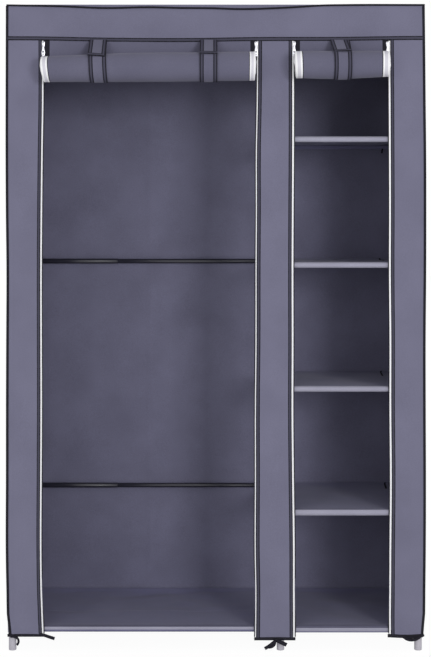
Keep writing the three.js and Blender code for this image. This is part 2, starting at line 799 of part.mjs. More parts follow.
const group = new THREE.Group();
buildFrame(group);
buildShelves(group);
buildCover(group);
buildDoors(group);
group.add(hemTie('hem_tie_left', columnX.left, hemHeight, [-tieSpread, tieHang]));
group.add(hemTie('hem_tie_middle', columnX.middle, centreHemHeight, [tieSpread, -tieSpread]));
group.add(hemTie('hem_tie_right', columnX.right, hemHeight, [tieSpread, -tieHang]));

// The origin lies under the middle of everything, rolls included
const bounds = new THREE.Box3().setFromObject(group, true);
group.position.y = -(bounds.min.y + bounds.max.y) / 2;

export default group;
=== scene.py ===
# A portable fabric wardrobe: a grey nonwoven cover with dark bindings and white zips over a steel frame,
# with both doors rolled up under the header. Metres, the front faces -Y, and the floor is at zero.
import math

import bpy
import numpy as np
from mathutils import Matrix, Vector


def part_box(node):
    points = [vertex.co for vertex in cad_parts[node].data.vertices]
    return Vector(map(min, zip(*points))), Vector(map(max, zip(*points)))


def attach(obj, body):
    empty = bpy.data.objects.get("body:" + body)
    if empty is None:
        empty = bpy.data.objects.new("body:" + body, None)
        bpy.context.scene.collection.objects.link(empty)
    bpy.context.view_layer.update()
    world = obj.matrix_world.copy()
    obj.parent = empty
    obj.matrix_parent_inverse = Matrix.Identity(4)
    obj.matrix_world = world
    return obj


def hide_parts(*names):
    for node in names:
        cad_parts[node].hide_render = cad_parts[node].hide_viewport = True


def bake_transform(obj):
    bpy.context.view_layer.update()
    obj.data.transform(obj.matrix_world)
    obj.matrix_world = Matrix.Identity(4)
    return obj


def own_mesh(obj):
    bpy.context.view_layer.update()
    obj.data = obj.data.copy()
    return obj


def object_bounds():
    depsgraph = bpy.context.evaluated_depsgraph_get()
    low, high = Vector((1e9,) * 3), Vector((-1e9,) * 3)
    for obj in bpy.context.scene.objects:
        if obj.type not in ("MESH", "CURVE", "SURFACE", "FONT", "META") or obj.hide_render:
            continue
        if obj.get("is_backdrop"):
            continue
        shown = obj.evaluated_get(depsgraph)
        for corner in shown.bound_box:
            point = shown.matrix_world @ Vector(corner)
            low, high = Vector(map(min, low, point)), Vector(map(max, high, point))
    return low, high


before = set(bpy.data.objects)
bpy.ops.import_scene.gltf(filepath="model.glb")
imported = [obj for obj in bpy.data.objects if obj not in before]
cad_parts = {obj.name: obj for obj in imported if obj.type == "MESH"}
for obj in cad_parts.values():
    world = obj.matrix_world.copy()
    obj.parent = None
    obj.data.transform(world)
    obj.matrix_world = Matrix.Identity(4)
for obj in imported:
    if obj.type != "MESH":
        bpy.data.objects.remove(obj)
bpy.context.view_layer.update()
scene = bpy.context.scene
ROOT = "frame_and_cover"
mm = 0.001
X, Y, Z = range(3)


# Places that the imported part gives

def middle_of(node, axis):
    low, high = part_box(node)
    return (low[axis] + high[axis]) / 2


front_y = middle_of("left_door_left_zip", Y) - 0.6 * mm  # the cover's front face
back_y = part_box("cover_back")[1].y
side_x, _, top_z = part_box("cover_top")[1]
hem_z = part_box("left_strip")[0].z
centre_hem_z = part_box("centre_strip")[0].z
header_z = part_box("cover_header")[0].z
column_x = {c: middle_of(f"foot_front_{c}", X) for c in ("left", "middle", "right")}
column_y = {r: middle_of(f"foot_{r}_left", Y) for r in ("front", "back")}
left, middle, right = column_x.values()
rail_front, rail_back = column_y.values()
levels = [middle_of(f"shelf_frame_{i}", Z) for i in (1, 2, 3, 4)]
bottom_level = middle_of("bottom_frame", Z)
top_level = top_z - 9.65 * mm
TUCK = 1.61  # where strips, zips and doors start, behind the header's binding
OPENING_TOP, OPENING_LOW, SLIDER_LOW = 1.6, 0.045, 0.147


def shown(name, data):
    made = bpy.data.objects.new(name, data)
    scene.collection.objects.link(made)
    return made


# The camera looks level, and its shift gives the photograph's frame
AWAY, EYE_Z = 4.2, 1.129  # the camera's distance from the front face, and its height
lens = bpy.data.cameras.new("camera")
lens.lens = 87.44
lens.shift_y = -0.1621
lens.clip_end = 100
camera = shown("camera", lens)
camera.location = (0.5 * mm, front_y - AWAY, EYE_Z)
camera.rotation_euler = (math.pi / 2, 0, 0)
scene.camera = camera
scene.view_settings.view_transform = "Standard"


# Curves and waves

def through(at, xs, ys):
    """A smooth curve through the points (xs, ys), read at the places in at."""
    xs, ys = np.asarray(xs, float), np.asarray(ys, float)
    slope = np.gradient(ys, xs)
    at = np.clip(np.asarray(at, float), xs[0], xs[-1])
    i = np.clip(np.searchsorted(xs, at) - 1, 0, len(xs) - 2)
    step = xs[i + 1] - xs[i]
    t = (at - xs[i]) / step
    here = (1 + 2 * t) * (1 - t) ** 2 * ys[i] + t * (1 - t) ** 2 * step * slope[i]
    return here + t * t * (3 - 2 * t) * ys[i + 1] - t * t * (1 - t) * step * slope[i + 1]


def curve(places, values):
    """A smooth curve through values in millimetres."""
    return lambda at: through(at, places, values) * mm


def ripples(seed, size, *at):
    """Uneven waves about size metres long, mostly between -1 and 1."""
    draw = np.random.default_rng(seed)
    total = 0
    for _ in range(10):
        way = draw.normal(size=len(at))
        way *= 2 * math.pi / (size * draw.uniform(0.6, 1.7) * np.linalg.norm(way))
        total = total + np.sin(sum(w * a for w, a in zip(way, at)) + draw.uniform(0, 2 * math.pi))
    return total / 10 ** 0.5


def bell(at, centre, width):
    return np.exp(-(((at - centre) / width) ** 2))


def join(*numbers):
    """Points from their numbers, each spread to the shape of all."""
    return np.stack(np.broadcast_arrays(*numbers), axis=-1)


def unit(vectors):
    return vectors / np.linalg.norm(vectors, axis=-1, keepdims=True)


def lengths(points, axis=0):
    """How far each point of a line or a grid lies along it."""
    step = np.linalg.norm(np.diff(points, axis=axis), axis=-1)
    start = np.zeros_like(np.take(step, [0], axis=axis))
    return np.concatenate([start, np.cumsum(step, axis=axis)], axis=axis)


def run(start, end, count):
    return np.linspace(np.asarray(start, float), np.asarray(end, float), count)


def across_line(x0, x1, y, z, count):
    return run((x0, y, z), (x1, y, z), count)


def smoothed(points, least):
    """A smooth line through points, of at least so many points and with one at every 2 mm."""
    points = np.asarray(points, float)
    at = lengths(points)
    t = np.linspace(0, at[-1], max(least, int(at[-1] / (2 * mm))))
    return join(*[through(t, at, points[:, i]) for i in range(3)])


# Parts of meshes. A part is points, faces, the place of each point on its cloth, and the stuff of each face.

def cloth(grid, thick, face=0, back=0, rim=0):
    """A sheet of cloth with both its faces and its rim. grid holds rows of points on its middle, as (rows, columns, 3).
    The face is on the side that columns turned into rows points to."""
    rows, columns = grid.shape[:2]
    out = unit(np.cross(np.gradient(grid, axis=1), np.gradient(grid, axis=0)))
    half = out * np.broadcast_to(thick, (rows, columns))[..., None] / 2
    points = np.concatenate([(grid + half).reshape(-1, 3), (grid - half).reshape(-1, 3)])
    place = join(lengths(grid, 1), lengths(grid, 0)).reshape(-1, 2)
    n = rows * columns
    index = np.arange(n).reshape(rows, columns)
    outer = np.stack([index[:-1, :-1], index[:-1, 1:], index[1:, 1:], index[1:, :-1]], axis=-1).reshape(-1, 4)
    edges = [(index[0, 1:], index[0, :-1]), (index[-1, :-1], index[-1, 1:]), (index[:-1, 0], index[1:, 0]),
             (index[1:, -1], index[:-1, -1])]
    rims = np.concatenate([np.stack([a, b, b + n, a + n], axis=-1) for a, b in edges])
    faces = np.concatenate([outer, outer[:, ::-1] + n, rims])
    cells = (rows - 1, columns - 1)
    stuff = [np.broadcast_to(face, cells).ravel(), np.broadcast_to(back, cells).ravel(), np.full(len(rims), rim)]
    return points, faces.tolist(), np.concatenate([place, place]), np.concatenate(stuff)


def ring_faces(rings, count, closed=False):
    """The faces between rings of count points. Closed rings join the last to the first, and open ones are capped."""
    faces = []
    for i in range(rings if closed else rings - 1):
        a, b = i * count, (i + 1) % rings * count
        for j in range(count):
            k = (j + 1) % count
            faces.append([a + j, a + k, b + k, b + j])
    if not closed:
        faces += [list(range(count))[::-1], [(rings - 1) * count + j for j in range(count)]]
    return faces


def swept(line, side, section, stuff=0):
    """A solid with one section all along a line. side is the way of the section's first number, and the second one
    points out of the face that side turned into the line shows. The cloth's place is metres along and -1 to 1
    across."""
    line, section = np.asarray(line, float), np.asarray(section, float)
    along = unit(np.gradient(line, axis=0))
    out = unit(np.cross(np.broadcast_to(np.asarray(side, float), line.shape), along))
    side = np.cross(along, out)
    rings = line[:, None] + side[:, None] * section[None, :, :1] + out[:, None] * section[None, :, 1:]
    faces = ring_faces(len(line), len(section))
    after = np.roll(section, -1, axis=0)
    if np.sum(section[:, 0] * after[:, 1] - section[:, 1] * after[:, 0]) < 0:
        faces = [face[::-1] for face in faces]
    across = section[None, :, 0] / np.abs(section[:, 0]).max()
    place = join(lengths(line)[:, None], across).reshape(-1, 2)
    return rings.reshape(-1, 3), faces, place, np.full(len(faces), stuff)


def turned(profile, at, axis, sides=32, ring=False, stuff=0):
    """A solid of revolution. The profile is radii and heights; a ring's profile closes on itself, as a tube's does."""
    profile, axis = np.asarray(profile, float), np.asarray(axis, float)
    side = np.array([0, 0, 1.0]) if abs(axis[2]) < 0.5 else np.array([1.0, 0, 0])
    angle = np.arange(sides) * 2 * math.pi / sides
    spokes = np.cos(angle)[:, None] * side + np.sin(angle)[:, None] * np.cross(axis, side)
    rings = np.asarray(at, float) + spokes[None] * profile[:, :1, None] + axis * profile[:, 1:, None]
    faces = ring_faces(len(profile), sides, ring)
    place = join(angle * profile[:, :1].max(), profile[:, 1:]).reshape(-1, 2)
    return rings.reshape(-1, 3), faces, place, np.full(len(faces), stuff)


def flat_band(width, thick):
    """The section of a flat band with rounded edges."""
    turn = np.linspace(-math.pi / 2, math.pi / 2, 4)
    edge = join(width / 2 - thick / 2 + np.cos(turn) * thick / 2, np.sin(turn) * thick / 2)
    return np.concatenate([edge, -edge])


def round_band(radius, sides=12):
    turn = np.arange(sides) * 2 * math.pi / sides
    return join(np.cos(turn), np.sin(turn)) * radius


def tape(line, side, width, thick, stuff=0):
    """A flat band with slightly rounded edges, as of folded tape."""
    corner = min(thick * 0.45, mm)
    turn = np.linspace(0, math.pi / 2, 3)
    edge = join(width / 2 - corner + np.cos(turn) * corner, thick / 2 - corner + np.sin(turn) * corner)
    flat = join(np.linspace(1, -1, 7)[1:-1] * (width / 2 - corner), thick / 2)
    upper = np.concatenate([edge, flat, edge[::-1] * [-1, 1]])
    return swept(line, side, np.concatenate([upper, -upper]), stuff)


def rod(radius, start, end, stuff=0, edge=0.6 * mm, bore=0):
    """A round bar end to end with its edges broken, or with a bore a tube."""
    start, end = np.asarray(start, float), np.asarray(end, float)
    length = np.linalg.norm(end - start)
    profile = [(radius - edge, 0), (radius, edge), (radius, length - edge), (radius - edge, length)]
    if bore:
        profile = [(bore, 0), *profile, (bore, length)]
    return turned(profile, start, unit(end - start), 32 if bore else 24, bool(bore), stuff)


def make(name, parts, stuffs):
    """One piece of several parts. stuffs are its materials, which the parts number from zero."""
    points, faces, places, kinds, count = [], [], [], [], 0
    for part_points, part_faces, place, kind in parts:
        points.append(part_points)
        faces += [[v + count for v in face] for face in part_faces]
        places.append(place)
        kinds.append(kind)
        count += len(part_points)
    mesh = bpy.data.meshes.new(name)
    mesh.from_pydata(np.concatenate(points).tolist(), [], faces)
    for stuff in stuffs:
        mesh.materials.append(stuff)
    mesh.polygons.foreach_set("material_index", np.concatenate(kinds).astype(np.int32))
    corners = np.empty(len(mesh.loops), np.int32)
    mesh.loops.foreach_get("vertex_index", corners)
    places = np.concatenate(places)[corners]
    mesh.uv_layers.new(name="cloth").data.foreach_set("uv", places.astype(np.float32).ravel())
    mesh.shade_smooth()
    mesh.set_sharp_from_angle(angle=math.radians(50))
    return shown(name, mesh)


def settle(made, slot, *nodes, body=ROOT):
    if nodes:
        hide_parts(*nodes)
    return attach(made, body)


def piece(name, parts, stuffs, slot, *nodes, body=ROOT):
    return settle(make(name, parts, stuffs), slot, *nodes, body=body)


# Materials

def colour(text):
    """The linear colour of an sRGB hex value."""
    parts = [int(text[i:i + 2], 16) / 255 for i in (0, 2, 4)]
    return (*[p / 12.92 if p <= 0.04045 else ((p + 0.055) / 1.055) ** 2.4 for p in parts], 1)


def emptied(owner):
    """The node tree of a material or a world, cleared."""
    owner.use_nodes = True
    owner.node_tree.nodes.clear()
    return owner.node_tree


def add(tree, kind, inputs=None, **settings):
    """Adds a node with its settings and with links or values in its inputs, and gives its outputs."""
    made = tree.nodes.new(kind)
    for key, value in settings.items():
        setattr(made, key, value)
    for key, value in (inputs or {}).items():
        if isinstance(value, bpy.types.NodeSocket):
            tree.links.new(value, made.inputs[key])
        else:
            made.inputs[key].default_value = value
    return made.outputs


def place_on(tree, kind):
    return add(tree, "ShaderNodeTexCoord")[kind]


def noise(tree, scale, detail):
    inputs = {"Vector": place_on(tree, "Object"), "Scale": scale, "Detail": detail}
    return add(tree, "ShaderNodeTexNoise", inputs)[0]


def work(tree, operation, *values, **settings):
    return add(tree, "ShaderNodeMath", dict(enumerate(values)), operation=operation, **settings)[0]


def mapped(tree, value, low=0, high=1, to_low=0, to_high=1, **settings):
    inputs = {0: value, 1: low, 2: high, 3: to_low, 4: to_high}
    return add(tree, "ShaderNodeMapRange", inputs, **settings)[0]


def mixed(tree, share, start, end):
    """The colour start where share is 0, and end where it is 1."""
    return add(tree, "ShaderNodeMix", {0: share, 6: colour(start), 7: colour(end)}, data_type="RGBA")[2]


def finish(name, paint, **constants):
    """A material. paint adds its pattern and gives its colour, roughness, height and the height's size in metres."""
    material = bpy.data.materials.new(name)
    tree = emptied(material)
    tone, rough, height, size = paint(tree)
    bump = add(tree, "ShaderNodeBump", {"Height": height, "Distance": size, "Strength": 1})
    sockets = {"Base Color": tone, "Roughness": rough, "Normal": bump[0]}
    sockets.update({key.replace("_", " "): value for key, value in constants.items()})
    shader = add(tree, "ShaderNodeBsdfPrincipled", sockets)
    add(tree, "ShaderNodeOutputMaterial", {"Surface": shader[0]})
    return material


def nonwoven(light, dark):
    """Spunbond polypropylene, laid as a felt of fibres and pressed together in small points. The eye sees a matt,
    slightly cloudy grey with a fine grid of dimples. The points are 1.2 mm apart, and drawn 3 mm apart to show."""
    def paint(tree):
        fibre = noise(tree, 420, 2)
        share = mapped(tree, work(tree, "ADD", noise(tree, 9, 3), fibre), 0.7, 1.3)
        spots = add(tree, "ShaderNodeTexVoronoi", {"Vector": place_on(tree, "UV"), "Scale": 333, "Randomness": 0},
                    voronoi_dimensions="2D")
        dimple = mapped(tree, spots["Distance"], 0.12, 0.4, 0, 0.7)
        return mixed(tree, share, dark, light), 0.93, work(tree, "ADD", dimple, fibre), 0.12 * mm
    return paint


def bound_tape(centre, edge):
    """Polyester binding tape, folded over an edge and sewn. The eye sees ribs across it and a lighter sewn middle; its
    folds are drawn darker, in uneven patches, as painted shade. The ribs are 0.8 mm apart, and drawn 2.4 mm apart to
    show."""
    def paint(tree):
        split = add(tree, "ShaderNodeSeparateXYZ", {0: place_on(tree, "UV")})
        # Painted shade: the folds, towards both borders of the tape, are darkened in uneven patches.
        off = mapped(tree, work(tree, "ABSOLUTE", split[1]), 0.3, 0.62, interpolation_type="SMOOTHSTEP")
        patchy_fold_shade = work(tree, "MULTIPLY", off, noise(tree, 260, 2))
        share = work(tree, "MULTIPLY", patchy_fold_shade, 1.8, use_clamp=True)
        ribs = work(tree, "SINE", work(tree, "MULTIPLY", split[0], 2 * math.pi / (2.4 * mm)))
        return mixed(tree, share, centre, edge), 0.85, ribs, 0.1 * mm
    return paint


def zip_tape(light, dark):
    """The white woven polyester tape of a coil zip. The eye sees a clean white with a faint herringbone, 1 mm deep,
    drawn 2 mm deep to show, whose grooves are drawn a little grey as painted shade."""
    def paint(tree):
        rows = add(tree, "ShaderNodeMapping", {"Vector": place_on(tree, "UV"), "Scale": (500, 500, 1)})[0]
        weave = add(tree, "ShaderNodeTexWave", {"Vector": rows, "Scale": 0.5, "Distortion": 1.5})[1]
        return mixed(tree, weave, dark, light), 0.6, weave, 0.04 * mm
    return paint


def grained(light, dark, grain, gloss, depth, flow=None):
    """One noise, of a scale and a detail, for the roughness, the height and, without a slower flow, the colour."""
    def paint(tree):
        fine = noise(tree, *grain)
        tone = mixed(tree, noise(tree, *flow) if flow else fine, dark, light)
        return tone, mapped(tree, fine, 0, 1, *gloss), fine, depth * mm
    return paint


def moulded(light, dark):
    """Polypropylene moulded in a blasted tool. The eye sees a soft satin grey with a grain of half a millimetre,
    drawn at a millimetre, and slow clouding from the flow of the melt."""
    return grained(light, dark, (1000, 1), (0.42, 0.6), 0.05, (30, 2))


def powder_coat(light, dark):
    """Thin steel tube with a dark powder coat. The eye sees a near black with a soft gloss line and the dimples of
    orange peel, about 1.5 mm across."""
    return grained(light, dark, (650, 1), (0.28, 0.4), 0.03)


def plated(light, dark):
    """Zinc cast in a die, tumbled and nickel plated. The eye sees a bright, slightly uneven metal with tumbling
    marks about a millimetre long."""
    return grained(light, dark, (900, 3), (0.25, 0.45), 0.02)


def felt(where, light, dark, sheen=0.1):
    return finish(f"spunbond polypropylene, {where}", nonwoven(light, dark), Sheen_Weight=sheen)


cover_face = felt("cover", "76758c", "6c6b81")
# The inside of the cover is drawn darker, with less sheen, than its outside: painted shade.
cover_inside_painted_shade = felt("inside of the cover", "74738b", "65647a", 0.05)
# The doors' cloth is drawn darker than the cover's: painted shade on the rolled doors.
door_face_painted_shade = felt("doors", "67667b", "5e5d72")
shelf_face = felt("shelves", "737292", "686787")
# A darker copy of the shelf cloth: painted shadow along the seam on top of a front sleeve.
seam_painted_shadow = felt("seam, painted shadow", "5b5a6f", "535265", 0.05)
# A lighter copy of the shelf cloth: painted highlight on the front of a sleeve.
sleeve_painted_highlight = felt("sleeve front, painted highlight", "a5a4b6", "9897a9")
binding = finish("polyester binding tape", bound_tape("484757", "0d0c12"), Specular_IOR_Level=0.2)
dark_tape = finish("polyester binding tape, piping", bound_tape("201f28", "111016"), Specular_IOR_Level=0.2)
thread = finish("polyester sewing thread", moulded("34333e", "292832"))
seam_thread = finish("polyester sewing thread, grey", moulded("8a899a", "7d7c8e"))
white_tape = finish("woven zip tape, white", zip_tape("fdfdff", "f2f2f6"))
# The white zip tape drawn grey where it is wound into the rolls: painted shade.
band_tape_painted_shade = finish("woven zip tape, in the roll", zip_tape("e2e1ea", "c9c7d2"))
coil = finish("nylon zip coil, white", moulded("fbfbfd", "f0f0f4"))
steel = finish("steel tube, powder coated", powder_coat("2c2b37", "20202a"), IOR=1.5)
plastic = finish("moulded polypropylene", moulded("c2bfc8", "b4b1bb"), IOR=1.49)
nickel = finish("nickel plated zinc", plated("dcdce2", "b4b4bc"), Metallic=1.0)


# Small things in rows

def row_tree():
    """Geometry Nodes that set small rounded bodies along lines, such as stitches and the turns of a zip's coil."""
    tree = bpy.data.node_groups.new("small bodies along lines", "GeometryNodeTree")
    for name, kind in {"Lines": "Geometry", "Pitch": "Float", "Size": "Vector", "Facing": "Vector", "Sides": "Int",
                       "Stuff": "Material"}.items():
        tree.interface.new_socket(name, in_out="INPUT", socket_type=f"NodeSocket{kind}")
    tree.interface.new_socket("Bodies", in_out="OUTPUT", socket_type="NodeSocketGeometry")
    given = add(tree, "NodeGroupInput")
    curves = add(tree, "GeometryNodeMeshToCurve", {0: given["Lines"]})[0]
    spaced = add(tree, "GeometryNodeResampleCurve", {"Curve": curves, "Length": given["Pitch"]}, mode="LENGTH")
    tangent = add(tree, "GeometryNodeInputTangent")[0]
    along = add(tree, "FunctionNodeAlignRotationToVector", {"Vector": tangent}, axis="Z")[0]
    faced = add(tree, "FunctionNodeAlignRotationToVector", {"Rotation": along, "Vector": given["Facing"]}, axis="Y",
                pivot_axis="Z")
    ball = add(tree, "GeometryNodeMeshUVSphere", {"Segments": given["Sides"], "Rings": 4, "Radius": 0.5})
    placed = add(tree, "GeometryNodeInstanceOnPoints", {"Points": spaced[0], "Instance": ball[0],
                                                        "Rotation": faced[0], "Scale": given["Size"]})
    real = add(tree, "GeometryNodeRealizeInstances", {0: placed[0]})[0]
    smooth = add(tree, "GeometryNodeSetShadeSmooth", {"Geometry": real})[0]
    coated = add(tree, "GeometryNodeSetMaterial", {"Geometry": smooth, "Material": given["Stuff"]})[0]
    add(tree, "NodeGroupOutput", {0: coated})
    return tree


ROWS = row_tree()


def row(name, lines, pitch, size, stuff, facing=(0, -1, 0), sides=6):
    """Bodies of size (across, out, along) at a pitch along each line of points."""
    edges, count = [], 0
    for line in lines:
        edges += [(count + i, count + i + 1) for i in range(len(line) - 1)]
        count += len(line)
    mesh = bpy.data.meshes.new(name)
    mesh.from_pydata(np.concatenate(lines).tolist(), edges, [])
    made = shown(name, mesh)
    modifier = made.modifiers.new("row", "NODES")
    modifier.node_group = ROWS
    values = {"Pitch": pitch, "Size": size, "Facing": facing, "Sides": sides, "Stuff": stuff}
    for item in ROWS.interface.items_tree:
        if item.item_type == "SOCKET" and item.in_out == "INPUT" and item.name in values:
            modifier[item.identifier] = values[item.name]
    bpy.context.view_layer.update()
    depsgraph = bpy.context.evaluated_depsgraph_get()
    made.data = bpy.data.meshes.new_from_object(made.evaluated_get(depsgraph), depsgraph=depsgraph)
    made.modifiers.clear()
    bpy.data.meshes.remove(mesh)
    return made


# Frame

TUBE_R, TUBE_WALL, RAIL_R, ROD_R, CLEAR = 8 * mm, 0.8 * mm, 6.35 * mm, 7.2 * mm, 0.3 * mm
SLEEVE_R, SLEEVE_H, SOCKET_R, SOCKET_L, CUP_L = 10.4 * mm, 34 * mm, 8.15 * mm, 23 * mm, 32 * mm
CLOTHES_R = 8 * mm
STOP = 13.3 * mm  # from an upright's axis to the end of a rod in its cup
MEET = 0.35  # the part of a back rod that is its wider length
FOOT = np.array([(0.5, 0), (8, 0), (9, 0.27), (9.73, 1), (10, 2), (10, 39.8), (9.6, 40.6), (9.2, 41), (8.3, 41),
                 (8.3, 4), (0.5, 4)]) * mm


def frame_level(name, columns, z, low, high, cups=()):
    """One level: rails of tube between moulded joints, whose sleeves reach from low under it to high over it. A cup
    takes the end of a back rod or of the clothes rail."""
    inside = SLEEVE_R - mm  # a socket starts inside its sleeve
    parts = []
    for i, x in enumerate(columns):
        parts.append(rod(RAIL_R, (x, rail_front + SOCKET_L, z), (x, rail_back - SOCKET_L, z)))
        for y, way in ((rail_front, 1), (rail_back, -1)):
            parts.append(rod(SLEEVE_R, (x, y, z - low), (x, y, z + high), 1, 0.7 * mm, TUBE_R + CLEAR))
            parts.append(rod(SOCKET_R, (x, y + way * inside, z), (x, y + way * SOCKET_L, z), 1))
            if i:
                before = columns[i - 1]
                parts += [rod(RAIL_R, (before + SOCKET_L, y, z), (x - SOCKET_L, y, z)),
                          rod(SOCKET_R, (before + inside, y, z), (before + SOCKET_L, y, z), 1),
                          rod(SOCKET_R, (x - SOCKET_L, y, z), (x - inside, y, z), 1)]
    for x, y, drop, way, radius in cups:
        bore, wall, lip = radius + CLEAR, radius + CLEAR + 2 * mm, 0.6 * mm
        start, stop = SLEEVE_R - 2 * mm if y else RAIL_R, STOP - CLEAR
        profile = [(bore, stop), (bore, CUP_L), (wall - lip, CUP_L), (wall, CUP_L - lip), (wall, start),
                   (bore / 2, start), (bore / 2, stop)]
        parts.append(turned(profile, (x, y, z - drop), (way, 0, 0), 32, True, 1))
    piece(f"{name}_tubes", parts, [steel, plastic], "tube", name)


for where, y in column_y.items():
    for column, x in column_x.items():
        part = rod(TUBE_R, (x, y, 4.3 * mm), (x, y, top_z - 1.8 * mm), 0, 0.2 * mm, TUBE_R - TUBE_WALL)
        piece(f"upright_{where}_{column}_tube", [part], [steel], "tube", f"upright_{where}_{column}")
        part = turned(FOOT, (x, y, 0), (0, 0, 1), 48)
        piece(f"foot_cap_{where}_{column}", [part], [plastic], "joint", f"foot_{where}_{column}")
half = SLEEVE_H / 2
frame_level("bottom_frame", [left, middle, right], bottom_level, half, half)
rail_drop = 10.3 * mm - SOCKET_R  # how far the clothes rail lies under the top level
frame_level("top_frame", [left, middle, right], top_level, SLEEVE_H - SOCKET_R, SOCKET_R,
            [(left, 0, rail_drop, 1, CLOTHES_R), (middle, 0, rail_drop, -1, CLOTHES_R)])
low, high = left + STOP, middle - STOP
clothes_y, clothes_z = (rail_front + rail_back) / 2, top_level - rail_drop
part = rod(CLOTHES_R, (low, clothes_y, clothes_z), (high, clothes_y, clothes_z))
piece("clothes_rail_tube", [part], [steel], "tube", "clothes_rail")
for i, level in enumerate(levels):
    cups = [] if i % 2 else [(middle, rail_back, 0, -1, RAIL_R)]
    frame_level(f"shelf_frame_{i + 1}", [middle, right], level, half, half, cups)
    if cups:
        where = "upper" if i else "lower"
        frame_level(f"{where}_left_side_bar", [left], level, half, half, [(left, rail_back, 0, 1, ROD_R)])
        meet = low + (high - low) * MEET
        halves = [rod(ROD_R, (low, rail_back, level), (meet, rail_back, level)),
                  rod(RAIL_R, (meet - mm, rail_back, level), (high, rail_back, level))]
        piece(f"{where}_back_rod_tubes", halves, [steel], "tube", f"{where}_back_rod")


# Cover

CLOTH, BIND_T, HEM_W, HEM_T = 1.2 * mm, 2.2 * mm, 6.5 * mm, 2.4 * mm
HALF = CLOTH / 2
NEAR_CORNER = 14 * mm  # how far back the sides lean with the front corners
GAP = 2.5 * mm  # from a zip's middle to the edge of its strip
mid_y = front_y + HALF
strip_x = side_x - 4 * mm
underside = top_z - 1.5 * mm
heights = [0.03, 0.047, 0.092, 0.147, 0.266, 0.45, 0.634, 0.818, 1.003, 1.16, 1.318, 1.445, 1.56, 1.7]
bows = {  # how far each zip strays from a straight line, in millimetres, at those heights
    "left_door_left": [4.2, 3.7, 1.9, -0.2, -2.0, -1.3, -0.5, -0.8, -1.0, -0.1, 1.5, 3.3, 3.4, 3.0],
    "left_door_right": [-3.0, -2.9, -2.4, -2.1, -3.8, -3.2, -3.3, -1.7, -1.5, -0.7, -0.7, 1.6, 2.5, 2.8],
    "right_door_left": [4.0, 4.0, 3.9, 3.6, 3.6, 1.5, -0.1, 0.4, 0.1, 0.7, 1.6, 1.8, 1.4, 1.2],
    "right_door_right": [2.6, 2.6, 2.3, 2.8, 3.4, 4.8, 3.4, 3.5, 2.1, 2.5, 2.1, 1.5, 0.8, 0.8],
}
corners = {  # how far the front corners stand to the right of the cover's sides, at those heights
    -1: [7.4, 6.8, 1.2, 0.1, -1.9, -1.4, -1.3, -0.7, 0, -1.6, -2.4, -2.3, -2, -1.6],
    1: [-2, -2, 2.4, 3.1, 4.3, 4.8, 4.2, 4, 5.4, 5.7, 5.3, 4, 3, 1.6],
}
zips = {  # the widths of the strip's binding and of the tape in sight, and how far inward the slider stands
    "left_door_left": (9.2 * mm, 4 * mm, 4.8 * mm),
    "left_door_right": (10.4 * mm, 2.8 * mm, 0.4 * mm),
    "right_door_left": (9.4 * mm, 4.6 * mm, 4.2 * mm),
    "right_door_right": (9.8 * mm, 4.6 * mm, 3.8 * mm),
}


def inward(name):
    """1 where the door lies to the right of its zip, and -1 where it lies to the left."""
    return 1 if name.endswith("left") else -1


def hem_under(name):
    return centre_hem_z if name in ("left_door_right", "right_door_left") else hem_z


def zip_at(name, z):
    return middle_of(f"{name}_zip", X) + through(z, heights, bows[name]) * mm


def beside_zip(name, shift, low, high, y):
    """A line up the front that runs shift inward from a zip's middle."""
    return upright_line(lambda z: zip_at(name, z) + inward(name) * shift, low, high, y)


def corner_x(side, z):
    return side * side_x + through(z, heights, corners[side]) * mm


def seam_z(x):
    """The front seam of the top sags between the corners."""
    places = [-0.545, -0.414, -0.29, -0.172, -0.093, -0.014, 0.065, 0.144, 0.223, 0.276, 0.341, 0.545]
    return top_z - through(x, places, [0.8, 3.2, 8, 6, 7.8, 8.4, 10.8, 9, 4.9, 1.4, 0.2, 0]) * mm


def header_low(x):
    places = [-0.545, -0.46, -0.309, -0.014, 0.065, 0.336, 0.512, 0.545]
    return header_z + through(x, places, [1.8, 1.4, -1.4, -2.2, -0.8, 0.4, 2.6, 2.8]) * mm


def cover_top():
    """The top sags in each bay, and behind its front seam it rises onto the front rail."""
    lip = np.array([0, 0, 0, 0.1, 0.6, 1.6, 4]) * mm
    ys = np.concatenate([mid_y + lip, np.linspace(rail_front, back_y - HALF, 46)])
    x, y = np.meshgrid(np.linspace(-side_x, side_x, 89), ys)
    rise = np.array([0, 0.35, 0.75, 0.9, 0.97, 1, 1, *np.ones(46)])[:, None]
    seam = seam_z(x)
    z = seam + (top_z + 0.9 * mm - seam) * rise
    spans = np.clip((y - rail_front) / (rail_back - rail_front), 0, 1)
    bay = np.where(x < middle, (x - left) / (middle - left), (x - middle) / (right - middle))
    across = np.sin(np.clip(bay, 0, 1) * math.pi) ** 0.7
    sag = np.where(x < middle, 2.4 * np.sin(2 * math.pi * spans) ** 2, 4 * np.sin(math.pi * spans) ** 2) * across
    z = z - (sag + 0.5 * across * spans * (1 - spans) * 4 * ripples(3, 0.16, x, y)) * mm
    beyond = rail_back + 4 * mm
    return join(x, y, np.where(y > beyond, z - (y - beyond) * 0.25, z))


def cover_header():
    x, s = np.meshgrid(np.linspace(-strip_x, strip_x, 110), np.linspace(0, 1, 12))
    low, high = header_low(x) + 5 * mm, seam_z(x)
    soft = np.sin(s * math.pi) ** 0.6 * np.clip((strip_x - np.abs(x)) / 0.03, 0, 1)
    return join(x, mid_y + (0.9 * ripples(11, 0.22, x, s * 0.05) - 0.3) * soft * mm, low + (high - low) * s)


def cover_piece(name, grid, node):
    return piece(name, [cloth(grid, CLOTH, 0, 1, 0)], [cover_face, cover_inside_painted_shade], "cover_cloth", node)


def upright_line(xs, low, high, y, count=60):
    """A line that runs up the front; xs gives its place across at each height."""
    z = np.linspace(low, high, count)
    return join(xs(z), y, z)


